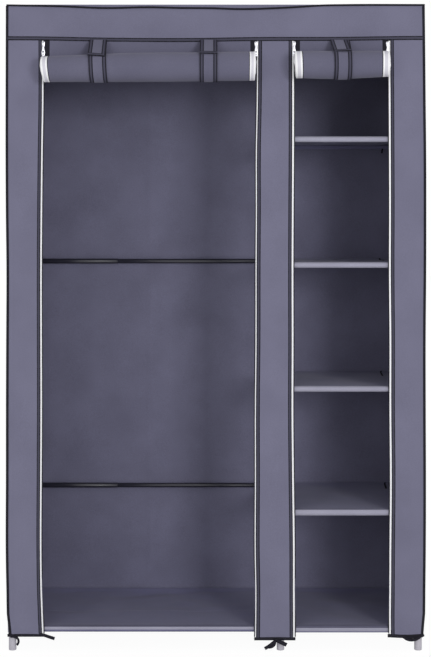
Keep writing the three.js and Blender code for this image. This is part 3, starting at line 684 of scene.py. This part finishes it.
def strip(name, low_edge, high_edge, hem):
    """A strip of the front. Its edges are the names of zips, where it is bound, or the sides of the cover, -1 or 1."""
    z = np.linspace(hem + mm, TUCK + 2 * mm, 70)[:, None]
    u = np.linspace(0, 1, 15)
    edges = (low_edge, high_edge)
    a, b = [zip_at(edge, z) - inward(edge) * GAP if edge in zips else corner_x(edge, z) - edge * 5.5 * mm
            for edge in edges]
    x = a + (b - a) * u
    soft = np.sin(u * math.pi) ** 2 * np.clip((OPENING_TOP - z) / 0.15, 0, 1)
    y = mid_y + (1 + 0.8 * ripples(len(name), 0.3, x, z * 0.6)) * soft * mm
    fabric = cover_piece(f"{name}_cloth", join(x, y, z), name)
    tapes = []
    for edge in (edge for edge in edges if edge in zips):
        width = zips[edge][0]
        tapes.append(tape(beside_zip(edge, -GAP - width / 2, hem, TUCK, mid_y), (1, 0, 0), width, BIND_T))
    return fabric, piece(f"{name}_binding", tapes, [binding], "binding")


top_cloth = cover_piece("top_cloth", cover_top(), "cover_top")
header_cloth = cover_piece("header_cloth", cover_header(), "cover_header")
xs = np.linspace(-strip_x, strip_x, 90)
header_line = join(xs, mid_y, header_low(xs) + 5.2 * mm)
header_tape = piece("header_binding", [tape(header_line, (0, 0, -1), 10.4 * mm, 4.2 * mm)], [binding], "binding")
xs = np.linspace(-side_x + HALF, side_x + mm, 90)
bead = swept(join(xs, front_y - 2 * mm, seam_z(xs)), (0, 0, -1), round_band(2.5 * mm))
piece("piping_over_the_header", [bead], [dark_tape], "binding", "top_piping")
strips = [strip("left_strip", -1, "left_door_left", hem_z),
          strip("centre_strip", "left_door_right", "right_door_left", centre_hem_z),
          strip("right_strip", "right_door_right", 1, hem_z)]


def side_cloth(side):
    z = np.linspace(hem_z + 3 * mm, underside, 90)[:, None]
    share = np.linspace(0, 1, 40) ** 1.3
    front, back = front_y + 2.6 * mm, back_y - CLOTH
    y = front + (back - front) * share
    hollow = np.sin(share * math.pi) ** 0.8 * (1.6 + 1.4 * ripples(21 + side, 0.34, y, z * 0.5))
    near = bell(y, front, NEAR_CORNER)
    lean = corner_x(side, z) - side * HALF
    grid = join(side * (side_x - HALF - hollow * mm) * (1 - near) + lean * near, y, z)
    return grid[:, ::-1] if side < 0 else grid


def side_hem(side):
    y = np.linspace(front_y + 4 * mm, back_y - 2 * mm, 20)
    near = bell(y, y[0], NEAR_CORNER)
    x = side * (side_x - CLOTH) * (1 - near) + (corner_x(side, hem_z) - side * CLOTH) * near
    return tape(join(x, y, hem_z + HEM_W / 2), (0, 0, side), HEM_W, 2 * mm)


for side, where in ((-1, "left"), (1, "right")):
    fabric = cover_piece(f"{where}_side_cloth", side_cloth(side), f"cover_{where}_side")
    hem = piece(f"{where}_side_hem", [side_hem(side)], [binding], "binding")
    bead_line = upright_line(lambda z: corner_x(side, z) - side * 2.6 * mm, hem_z, top_z - 2 * mm, front_y + 1.6 * mm)
    flange_line = upright_line(lambda z: corner_x(side, z) - side * 4 * mm, hem_z, top_z - 3 * mm, front_y - 0.4 * mm)
    parts = [swept(bead_line, (1, 0, 0), round_band(2.6 * mm)), tape(flange_line, (1, 0, 0), 6.4 * mm, 1.2 * mm)]
    piece(f"{where}_corner_piping", parts, [dark_tape], "binding")


def back_cloth():
    """The back hangs in soft folds, which the back rods and uprights hold flat."""
    x, z = np.meshgrid(np.linspace(side_x - HALF, -side_x + HALF, 200),
                       np.linspace(hem_z + 3 * mm, underside, 100))
    rods = 1 - sum(bell(z, level, 0.05) for level in (levels[0], levels[2], bottom_level))
    held = np.clip(rods, 0.15, 1) * np.clip((top_z - z) / 0.12, 0, 1) * np.clip((z - hem_z) / 0.1, 0.2, 1)
    free = np.clip(np.minimum.reduce([np.abs(x - c) for c in column_x.values()]) / 0.05, 0, 1)
    places = [-0.56, -0.1, -0.062, -0.04, -0.01, 0.01, 0.05, 0.13, 0.56]
    ridge = 11 * through(x, places, [0, 0, 0.06, 0.4, 0.95, 1, 0.7, 0, 0]) * np.clip((z - 0.85) / 0.3, 0.25, 1)
    crease = 1.6 * bell(x, -0.1895, 0.007)
    waves = 1.9 * (1 + ripples(33, 0.2, x, z * 0.12)) + 0.7 * ripples(34, 0.09, x, z * 0.3)
    return join(x, back_y - HALF - (ridge + crease + waves) * held * free * mm, z)


back_sheet = cover_piece("back_cloth", back_cloth(), "cover_back")
end_x, y, z = side_x - 2 * mm, back_y - CLOTH, hem_z + HEM_W / 2
hem = tape(across_line(end_x, -end_x, y, z, 30), (0, 0, -1), HEM_W, 2 * mm)
back_hem = piece("back_hem", [hem], [binding], "binding")

# Plain seams close the cover's other edges
bead, y, z = round_band(1.6 * mm, 8), back_y - 1.4 * mm, top_z - 2 * mm
seams = []
for x in (-side_x + 1.4 * mm, side_x - 1.4 * mm):
    seams.append(swept(run((x, y, hem_z), (x, y, z), 40), (1, 0, 0), bead))
    seams.append(swept(run((x, front_y + 3 * mm, z), (x, back_y - 2 * mm, z), 30), (0, 0, 1), bead))
seams.append(swept(across_line(-end_x, end_x, y, z, 40), (0, 0, 1), bead))
piece("seams_of_the_cover", seams, [cover_face], "cover_cloth")

# Bound hems of the front, that run past the lower ends of the zips: from, to, height and width
ends = [zip_at(name, OPENING_LOW) for name in zips]
hems = [(-side_x + 3 * mm, ends[0] + 3.4 * mm, hem_z - 4.4 * mm, 7.4 * mm),
        (ends[1] - 2.4 * mm, ends[2] + 3.6 * mm, centre_hem_z - 4.3 * mm, 8.4 * mm),
        (ends[3] - 6 * mm, side_x - 4 * mm, hem_z - 4.2 * mm, 9.4 * mm)]
hem_lines = [across_line(low, high, mid_y, z + HEM_W / 2, 24) for low, high, z, _ in hems]
hem_lines[2][:, Z] -= bell(hem_lines[2][:, X], 0.5, 0.04) * 2.6 * mm  # the right one sags
tapes = [tape(line, (0, 0, -1), width, HEM_T) for line, (*_, width) in zip(hem_lines, hems)]
piece("front_hems", tapes, [dark_tape], "binding")


# Zips: a white woven tape with the coil along its free edge

coil_lines = []
for name, (_, width, _) in zips.items():
    low, free = hem_under(name) + 4 * mm, width - GAP  # free is from the zip's middle to the tape's free edge
    middle_line = beside_zip(name, free - width / 2, low, TUCK - 4 * mm, mid_y)
    # A band of dark tape along each tape's free edge, at the opening: painted shade.
    edge_line = middle_line + [inward(name) * (width / 2 + 1.3 * mm), 0.5 * mm, 0]
    room = np.clip((0.05 - np.abs(edge_line[:, Z] - SLIDER_LOW)) / 0.02, 0, 1)  # where the slider ends its way down
    edge_line[:, X] -= inward(name) * 2.6 * mm * room
    parts = [tape(middle_line, (1, 0, 0), width, mm), tape(edge_line, (1, 0, 0), 2.6 * mm, 0.8 * mm, 1)]
    piece(f"{name}_zip_tape", parts, [white_tape, dark_tape], "zip", f"{name}_zip")
    coil_lines.append(beside_zip(name, free - 0.9 * mm, low, TUCK - 6 * mm, mid_y - 0.5 * mm))
settle(row("zip_coils", coil_lines, 3 * mm, (1.8 * mm, 1.7 * mm, 2.2 * mm), coil, sides=8), "zip")


def plate(outline, x, y, z, thick):
    """A plate in the front plane with rounded edges. The outline is half widths at heights, from the top down."""
    outline = np.asarray(outline, float) * mm
    spread = np.linspace(-1, 1, 9)
    edge = np.sqrt(1 - np.clip((np.abs(spread) - 0.7) / 0.3, 0, 1) ** 2)
    return cloth(join(x + spread * outline[:, :1], y, z + outline[:, 1:])[::-1], thick * np.clip(edge, 0.35, 1))


def shade_spot(x, y, z, radius, out):
    """A small dark disc that stands out of a plate by out. It is painted shade, for the holes, slots and shadows of the
    sliders and pulls.
    """
    profile = np.array([(radius, 0), (radius, out * 0.6), (radius * 0.7, out)]) * mm
    return turned(profile, (x, y, z), (0, -1, 0), 14, stuff=1)


PLATE = [(2.6, 0), (3.4, -0.4), (4, -1.6), (4.2, -3.4), (4.1, -6), (3.6, -9), (3.3, -12), (3, -13.4), (2.4, -14)]
TAB = [(1.7, 1.6), (2.5, 0.6), (2.8, -3), (2.3, -8), (2.2, -13), (2.9, -17), (3.8, -22), (4.4, -27), (4.3, -31)]
LOOP = [(0, -1), (-1.8, -1.2), (-3.2, -2.4), (-3.4, -5), (-2.6, -8), (0, -9.4)]  # out of the plate, and down
for name, (_, _, shift) in zips.items():
    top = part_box(f"{name}_slider")[1].z
    x, y = middle_of(f"{name}_slider", X) + inward(name) * shift, mid_y - 2.2 * mm
    post_x = x + inward(name) * 3.75 * mm
    post = run((post_x, mid_y + 1.6 * mm, top - 4 * mm), (post_x, mid_y - 1.6 * mm, top - 4 * mm), 3)
    loop = smoothed([(x, y + out * mm, top + down * mm) for out, down in LOOP], 12)
    # The last part is a dark disc on the front plate: painted shade.
    parts = [plate(PLATE, x, y, top, 1.6 * mm), plate(PLATE, x, mid_y + 2.2 * mm, top, 1.6 * mm),
             swept(post, (1, 0, 0), flat_band(0.9 * mm, 3 * mm)), swept(loop, (1, 0, 0), round_band(0.75 * mm, 8)),
             shade_spot(x, y - 0.7 * mm, top - 5.2 * mm, 0.9, 0.25)]
    piece(f"{name}_slider_plates", parts, [nickel, steel], "slider", f"{name}_slider", body=f"{name}_slider_body")
    pull_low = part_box(f"{name}_pull")[0]
    low, y, top = pull_low.z, pull_low.y + 1.9 * mm, top - 2 * mm
    drop = (top - low) / mm
    tab = TAB + [(3.6, -drop + 1.4), (2.2, -drop + 0.2), (1, -drop)]
    parts = [plate(tab, x, y, top, 1.3 * mm)]
    # Dark discs on the pull: painted shade of its hole and of two smaller dark places.
    for z, radius in ((low + 11.6 * mm, 2.2), (low + 5 * mm, 1.3), (top - 10 * mm, 1.2)):
        parts.append(shade_spot(x, y - 0.6 * mm, z, radius, 0.2))
    parts.append(rod(1.5 * mm, (x - 2.6 * mm, y, top), (x + 2.6 * mm, y, top)))
    piece(f"{name}_pull_plate", parts, [nickel, steel], "slider", f"{name}_pull", body=f"{name}_pull_tab")


# Doors: a sheet from the header, then a roll held by straps

ROLL_BACK = -192.95 * mm
CORE = 8.7 * mm
LAYER = 1.2 * mm
STRAP_W = 45.5 * mm
MARGIN = 24 * mm  # the part of a door at each end that has its own columns
left_places, right_places = [-0.46, -0.28, -0.05, 0.11], [0.2, 0.33, 0.46]
doors = {
    "left": {
        "bottom": curve(left_places, [1493.4, 1493.8, 1494.4, 1497.6]),
        "radius": curve(left_places, [33.9, 37.4, 38.9, 38.4]),
        "turns": 10.6,
        "ends": [(-5, 2.2, -3.6), (-7.6, 0.3, -0.3)],  # how far each stands out: in all, at its front, and below
        "bands": (0.9, 0.82),  # the shown width of the tape at each end
        "narrower": 1.8 * mm,  # the sheet's low right corner, beside the slider
    },
    "right": {
        "bottom": curve(right_places, [1504, 1501.6, 1507.4]),
        "radius": curve(right_places, [35.6, 36.9, 34.2]),
        "turns": 10.8,
        "ends": [(-4, 1, -1.8), (-4.2, -2.4, -0.2)],
        "bands": (1, 1),
        "narrower": 3.2 * mm,
    },
}
for name, door in doors.items():
    door["x"] = [zip_at(f"{name}_door_{end}", OPENING_TOP) for end in ("left", "right")]


def columns_of(door, edge, count, bands=(1, 1)):
    """Places across a door: those in edge, in millimetres from each end, and count of them between."""
    x0, x1 = door["x"]
    return np.concatenate([[x0 + e * bands[0] * mm for e in edge], np.linspace(x0 + MARGIN, x1 - MARGIN, count),
                           [x1 - e * bands[1] * mm for e in edge[::-1]]])


def door_roll(door):
    """The roll, wound from its back down, forward and up. The inside of the door shows, with its zip tapes."""
    turn = door["turns"] * 2 * math.pi
    xs = columns_of(door, [0, 5, 9, 10, 14, 19, 21.4], 34, door["bands"])
    angle, x = np.meshgrid(np.linspace(0, turn, int(door["turns"] * 30)), xs, indexing="ij")
    share = angle / turn
    wander = (1.1 * np.sin(angle * 0.83 + 1) + 0.8 * np.sin(angle * 2.1)) * np.clip(share * 8, 0, 1) * mm
    for way, end, (start, front_out, low_out) in zip((-1, 1), door["x"], door["ends"]):
        near = np.clip((way * (x - end) + 0.06) / 0.06, 0, 1)
        out = (start - front_out * np.cos(angle) + low_out * np.sin(angle)) * mm
        x = x + near * way * (out + 2.2 * share * mm + wander)
    radius = door["radius"](x)
    uneven = 0.012 * ripples(41, 1.3, np.cos(angle), np.sin(angle), x * 9) * (1 - bell(angle, 0, 0.5))
    r = (CORE + (radius - CORE) * (1 - share)) * (1 + uneven)
    grid = join(x, ROLL_BACK - radius + r * np.cos(angle), door["bottom"](x) + radius - r * np.sin(angle))
    face = np.zeros((len(grid) - 1, len(xs) - 1), int)
    face[:, [0, 4, -5, -1]] = 1
    # the middle of each end's tape band is the grey copy of the zip tape: painted shade
    face[:, [1, 2, 3, -4, -3, -2]] = 3
    face[:, [5, -6]] = 2
    back = np.zeros_like(face)
    back[:, [1, 2, -2, -3]] = 2
    back[:, [0, -1]] = 1
    return cloth(grid, LAYER, face, back, 1)


def door_sheet(door):
    """The sheet between the header and the roll, with a bound edge along both zips."""
    xs = columns_of(door, [5.2, 9.2, 13, 18.2, 21], 40)
    x, s = np.meshgrid(xs, np.linspace(0, 1, 21))
    x = x - door["narrower"] * np.clip((0.2 - s) / 0.05, 0, 1) * np.clip((x - door["x"][1] + 0.03) / 0.03, 0, 1)
    low = door["bottom"](x) + door["radius"](x)
    z = low + (TUCK + mm - low) * s
    y = ROLL_BACK + (mid_y - ROLL_BACK) * s + np.sin(s * math.pi) * 1.2 * ripples(51, 0.2, x, z * 0.5) * mm
    face = np.zeros((20, len(xs) - 1), int)
    face[:, [0, 1, 2, -3, -2, -1]] = 2
    return cloth(join(x, y, z), LAYER, face, 0, 1)


for name, door in doors.items():
    body, joint = f"{name}_door", f"{name}_door_unroll"
    stuffs = [door_face_painted_shade, white_tape, dark_tape, band_tape_painted_shade]
    roll = piece(f"{name}_door_roll_cloth", [door_roll(door)], stuffs, "door_cloth", f"{name}_door_roll", body=body)
    hanging = make(f"{name}_door_sheet_cloth", [door_sheet(door)], stuffs)
    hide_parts(f"{name}_door_sheet")
    ends = np.linspace(*door["x"], 20)
    joined = float((door["bottom"](ends) + door["radius"](ends)).max()) + 0.5 * mm  # above all of the sheet's low end
    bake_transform(hanging)
    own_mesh(roll)


def strap_path(door, x, lift, stop_z=None):
    """From the header to the roll's top, round its front and under it, and up behind the sheet. lift is the strap's
    height over the roll, and stop_z ends it on the roll's front."""
    radius = door["radius"](x) * 1.012 + lift
    axis = np.array([ROLL_BACK - radius + lift, door["bottom"](x) + radius - lift])
    start = np.array([front_y - 2.2 * mm - lift, header_z + 2 * mm])
    away = start - axis
    first = math.atan2(away[1], away[0]) + math.acos(radius / np.hypot(*away))
    angles = np.linspace(first, first + math.radians(235), 44)
    arc = axis + radius * join(np.cos(angles), np.sin(angles))
    line = np.concatenate([np.linspace(start, arc[0], 8)[:-1], arc])
    if stop_z is None:
        return np.concatenate([line, np.linspace(line[-1], [mid_y + 2.4 * mm, header_z + mm], 12)[1:]])
    return line[: np.argmax(line[:, 1] < stop_z)]


def ribbed(line, x, thick):
    """Strap cloth with a binding along both edges. The binding's folded borders are drawn in dark tape and its middle
    in binding tape, as painted shade at the folds.
    """
    half = np.array([0.27, 0.54, 0.56, 0.67, 0.87, 0.98, 1])
    share = np.concatenate([-half[::-1], [0], half])
    grid = join(x[:, None] + share * STRAP_W / 2, line[:, :1], line[:, 1:])
    full = thick * np.where(np.abs(share) > 0.55, 1.7, 1)
    place = np.abs((share[1:] + share[:-1]) / 2)
    # dark tape on the binding's borders: painted shade at the folds
    face = np.where(place > 0.54, np.where(np.abs(place - 0.77) < 0.1, 1, 2), 0)
    return cloth(grid[:, ::-1], full, face, face, 1)


def strap(door, x, lean, drift, end_z, tilt):
    """A long strap round the roll, over its upper end a short one, and the bound end that lies across the short one.
    The long one drifts sideways on its way down, and the short one leans back up to the header."""
    line = strap_path(door, x, 1.3 * mm)
    long_one = ribbed(line, x + drift * np.clip((header_z - line[:, 1]) / 0.11, 0, 1), 1.1 * mm)
    line = strap_path(door, x, 2.7 * mm, end_z)
    short_one = ribbed(line, x + lean * (np.clip((header_z - line[:, 1]) / 0.04, 0, 1) - 1), 1.2 * mm)
    path = strap_path(door, x, 3.4 * mm, end_z)
    path = path[np.argmax(path[:, 1] < end_z + 11 * mm):]
    y, z = path.mean(axis=0)
    half = STRAP_W / 2 + 0.25 * mm
    line = run((x - half, y, z + tilt / 2), (x + half, y, z - tilt / 2), 8)
    return [long_one, short_one, tape(line, (0, *unit(path[-1] - path[0])), 12 * mm, 2.4 * mm, 1)]


straps = [("left_door_strap_1", "left", -0.3075, 0.3, 5, 1559, 3.5),
          ("left_door_strap_2", "left", -0.0175, 0, 0, 1562, 1),
          ("right_door_strap_1", "right", 0.3305, 6, 0.6, 1569, -2)]
for node, name, x, *form in straps:
    parts = strap(doors[name], x, *[value * mm for value in form])
    made = piece(f"{node}_cloth", parts, [door_face_painted_shade, binding, dark_tape], "door_cloth", node)
    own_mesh(made)


# Shelves: cloth sewn into sleeves round the front and back rails

BESIDE = 0.3 * mm  # from an upright's axis to the cloth's end
CUT = 24 * mm  # from an upright's axis to the end of a seam


def shelf_drop(x, y, low_column, high_column, seed, sag, rear):
    """How far the cloth hangs below the tops of its rails, in metres. sag and rear are millimetres at the middle, in
    front and behind."""
    deep = np.clip((y - rail_front - 6 * mm) / (rail_back - rail_front - 12 * mm), 0, 1)
    wide = np.clip((x - low_column - BESIDE) / (high_column - low_column - 2 * BESIDE), 0, 1)
    behind = deep ** 1.5 * (rear / sag - 1) + 1
    lowered = (1 - np.abs(2 * deep - 1) ** 14) * (0.35 + 0.65 * np.sin(wide * math.pi) ** 0.8) * behind
    return np.maximum(lowered * (sag + 0.9 * ripples(seed, 0.13, x, y)), 0) * mm


def shelf_cloth(low_column, high_column, level, seed, sag, rear, slack, underside_shade_end, pale):
    """slack is how far the front sleeve hangs under its rail. The last two arguments are cells of the sleeve, from its
    back round under and up its front: before the first it keeps the shelf's colour as painted shade on the underside,
    up to the second it is drawn lighter as a painted highlight on the front, and after that darker as a painted shadow
    at the seam on top.
    """
    x0, x1, inset, r, turns = low_column + BESIDE, high_column - BESIDE, 23.3 * mm, 7 * mm, 26
    front = np.linspace(math.radians(35), math.radians(-270), turns)
    back = np.linspace(math.radians(90), math.radians(-215), turns)
    under = np.minimum(np.sin(front), 0) * slack * mm
    line = np.concatenate([
        join(rail_front + r * np.cos(front), r * np.sin(front) + under),
        join(np.linspace(rail_front, rail_back, 46)[1:-1], r),
        join(rail_back + r * np.cos(back), r * np.sin(back)),
    ])
    x, y = np.linspace(x0 + inset, x1 - inset, 60), line[:, :1]
    drop = shelf_drop(x, y, low_column, high_column, seed, sag, rear)
    drop[:turns] = drop[-turns:] = 0
    z = level + line[:, 1:] - drop
    face = np.zeros((len(line) - 1, 59), int)
    # Painted shade on the underside keeps the shelf's colour, then comes a painted highlight on the front, and a
    # painted shadow at the seam on top.
    face[underside_shade_end:pale] = 1
    face[pale:turns - 1] = 2
    parts = [cloth(join(x, y, z), 0.7 * mm, face, face, 1)]
    keep = (line[:, 0] > rail_front + inset) & (line[:, 0] < rail_back - inset)
    keep[:turns] = keep[-turns:] = False
    for a, b, column, t in ((x0, x0 + inset, 0, np.linspace(0, 1, 6)), (x1 - inset, x1, -1, np.linspace(1, 0, 6))):
        flap = (level + r) * (1 - t) + z[keep][:, [column]] * t
        parts.append(cloth(join(np.linspace(a, b, 6), y[keep], flap), 0.7 * mm))
    return parts


# the last two numbers of each shelf end the sleeve's painted shade on the underside and its painted highlight on the
# front
shelves = [("left_bottom_shelf", left, middle, bottom_level, 61, 3.4, 9.5, 3.5, 16, 20),
           ("right_bottom_shelf", middle, right, bottom_level, 62, 3.4, 8, 5.5, 14, 18)]
slacks = [(2.8, 0, 22), (0, 0, 25), (0, 0, 25), (0, 0, 25)]
shelves += [(f"shelf_{i + 1}", middle, right, level, 63 + i, 3, 4.5, *slacks[i]) for i, level in enumerate(levels)]
sleeve_lines = []
for node, low, high, level, *form in shelves:
    parts = shelf_cloth(low, high, level, *form)
    made = piece(f"{node}_cloth", parts, [shelf_face, sleeve_painted_highlight, seam_painted_shadow], "shelf_cloth", node)
    sleeve_lines.append(across_line(low + CUT, high - CUT, rail_front + 8 * mm, level + 7.5 * mm, 60))

# The wide bottom cloth has a seam across its middle
seam = across_line(left + CUT, middle - CUT, -6 * mm, bottom_level + 7.6 * mm, 80)
seam[:, Z] -= shelf_drop(seam[:, X], seam[:, Y], left, middle, 61, 3.4, 9.5)
sleeve_lines.append(seam)


# Ties of narrow ribbon

PIXEL = 2.632 * mm  # one pixel of the photograph in the plane of the front
ZERO_COLUMN, EYE_ROW = 215.3, 222  # the pixels of x = 0 and of the camera's height
RING = 10.4 * mm


def photo(x, y, depth):
    """The place of a pixel of the photograph, which lies depth millimetres in front of the cover."""
    scale = PIXEL * (AWAY - depth * mm) / AWAY
    return (x - ZERO_COLUMN) * scale, front_y - depth * mm, EYE_Z - 0.1 * mm + (EYE_ROW - y) * scale


def ribbon(points, facing, width, thick=0.9):
    """A ribbon through points, smoothed. facing is the way its face points, or two ways where it twists."""
    line = smoothed(points, 14)
    start, end = np.asarray(facing if np.ndim(facing) == 2 else (facing, facing), float)
    share = np.linspace(0, 1, len(line))[:, None]
    side = np.cross(np.gradient(line, axis=0), start * (1 - share) + end * share)
    return tape(line, side, width * mm, thick * mm)


hem_ties = [  # the foot, the ring's lower and upper end, and each ribbon's places in the photograph, facing and size
    ("left", 38, 45, [
        ([(10.5, 636.4, -2), (14.6, 636.8, 3), (17.2, 638, 4), (18.5, 640.4, 4), (18.2, 643, 3), (16.9, 645, 1)],
         ((0.1, -1, 0.3), (-0.5, -1, 0)), 6.5),
        ([(40, 634.6, 1.5), (44, 635.2, 3), (49.5, 637, 4), (54.6, 638.6, 5)], (0, -1, 0.1), 8.4)]),
    ("middle", 30, 38, [
        ([(273.5, 640.2, 4), (276.3, 639.6, 6), (279, 640.6, 4)], (0, -1, 0.2), 7, 2.6),
        ([(276.5, 640.2, 6), (273.4, 642.6, 8), (269.6, 645.6, 8), (264.8, 648.6, 6)], (0.1, -1, 0), 9),
        ([(275.4, 641, 7), (274.6, 644.6, 8), (272, 646.9, 8), (268.4, 647.6, 7)], (0, -1, 0.1), 6),
        ([(277.2, 640.4, 7), (280, 641.8, 9), (283.4, 643.4, 9), (286.6, 644.9, 8)], (0, -1, 0), 10.2)]),
    ("right", 36, 44, [
        ([(424, 634.8, -3), (420.6, 636.4, 2), (416.6, 639, 4), (412.5, 640, 5), (407.6, 639.4, 3), (403.6, 637, 1)],
         (0, -1, 0.1), 7.6, 1.4),
        ([(418, 636.4, 1), (411.5, 637.4, 2), (405, 636.8, 0)], (0, -1, 0), 6)]),
]
for where, low, high, ribbons in hem_ties:
    profile = [(RING, low * mm), (RING + 0.9 * mm, low * mm), (RING + 0.9 * mm, high * mm), (RING, high * mm)]
    parts = [turned(profile, (column_x[where], rail_front, 0), (0, 0, 1), 28, True)]
    parts += [ribbon([photo(*place) for place in places], *form) for places, *form in ribbons]
    piece(f"hem_tie_{where}_ribbon", parts, [dark_tape], "binding", f"hem_tie_{where}")

# Each shelf is also tied to its back rail, near the right side
parts = []
for i, (x0, x1, reach) in enumerate([(0.4935, 0.4865, 90), (0.483, 0.473, 122), (0.477, 0.474, 150)]):
    x = np.linspace(x0, x1, 7)
    y = rail_back - np.array([1, 6, 12, 0.35 * reach, 0.6 * reach, 0.8 * reach, reach]) * mm
    z = levels[i] + 7.9 * mm - shelf_drop(x, y, middle, right, 63 + i, 3, 4.5)
    parts.append(ribbon(join(x, y, z), (0, 0, 1), 4.8))
hung = [(485, 5.6, 5.8), (484, 7.4, 11), (483, 7, 19)]  # across, in front of the rail, and down
parts.append(ribbon([(x * mm, rail_back - y * mm, levels[3] - z * mm) for x, y, z in hung], (0, -1, 0), 4.6))
piece("shelf_ties", parts, [dark_tape], "binding")


# Stitches

stitch_lines = [header_line + np.array([0, -2.1, dz]) * mm for dz in (2.6, -2.6)]
for name in zips:
    for inset in (2.2 * mm, 7.2 * mm):
        stitch_lines.append(beside_zip(name, -GAP - inset, hem_under(name) + 8 * mm, TUCK - 8 * mm,
                                       mid_y - 1.15 * mm))
stitch_lines += [line + np.array([0, -1.25, 1.5]) * mm for line in hem_lines]
size = (0.8 * mm, 0.5 * mm, 3.2 * mm)
settle(row("stitches_of_the_bindings", stitch_lines, 5 * mm, size, thread), "binding")
settle(row("stitches_of_the_shelves", sleeve_lines, 5 * mm, size, seam_thread, facing=(0, 0, 1)), "shelf_cloth")


# Studio: a pale floor, and light from above and in front

FLOOR_GLOW, AMBIENT = 1.06, 0.53
WHITE = (1, 1, 1, 1)


def seen(tree, *more):
    """1 for rays from the camera, from glossy faces and of the kinds in more, and 0 for others."""
    rays = add(tree, "ShaderNodeLightPath")
    value = rays["Is Camera Ray"]
    for kind in ("Is Glossy Ray", *more):
        value = work(tree, "MAXIMUM", value, rays[kind])
    return value


def studio_paint():
    """White paint that keeps the shadow and is as bright as the background where the camera sees it."""
    material = bpy.data.materials.new("white studio paint")
    tree = emptied(material)
    share = work(tree, "MULTIPLY", seen(tree), 0.9)
    matt = add(tree, "ShaderNodeBsdfDiffuse", {"Color": colour("f4f4f4")})[0]
    glow = add(tree, "ShaderNodeEmission", {"Color": WHITE, "Strength": FLOOR_GLOW})[0]
    mix = add(tree, "ShaderNodeMixShader", {0: share, 1: matt, 2: glow})[0]
    add(tree, "ShaderNodeOutputMaterial", {"Surface": mix})
    return material


bpy.ops.mesh.primitive_plane_add(size=60, location=(0, 0, -0.2 * mm))
floor = bpy.context.object
floor.name = "studio_floor"
floor.data.materials.append(studio_paint())
floor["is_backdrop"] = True

world = bpy.data.worlds.new("studio")
tree = emptied(world)
strength = mapped(tree, seen(tree, "Is Transmission Ray"), 0, 1, AMBIENT, 1)
back_light = add(tree, "ShaderNodeBackground", {"Color": WHITE, "Strength": strength})
add(tree, "ShaderNodeOutputWorld", {"Surface": back_light[0]})
scene.world = world

lamps = [("right softbox", (3.3, -8, 1.8), 196, 1.8), ("left softbox", (-3.4, -6.6, 1.8), 34, 1.6),
         ("broad light behind the camera", (0, -7, 2.2), 45, 4)]
for name, place, power, width in lamps:
    light = bpy.data.lights.new(name, "AREA")
    light.energy, light.size = power, width
    made = shown(name, light)
    made.location = place
    made.rotation_euler = (Vector((0, 0, 0.9)) - Vector(place)).to_track_quat("-Z", "Y").to_euler()

low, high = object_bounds()
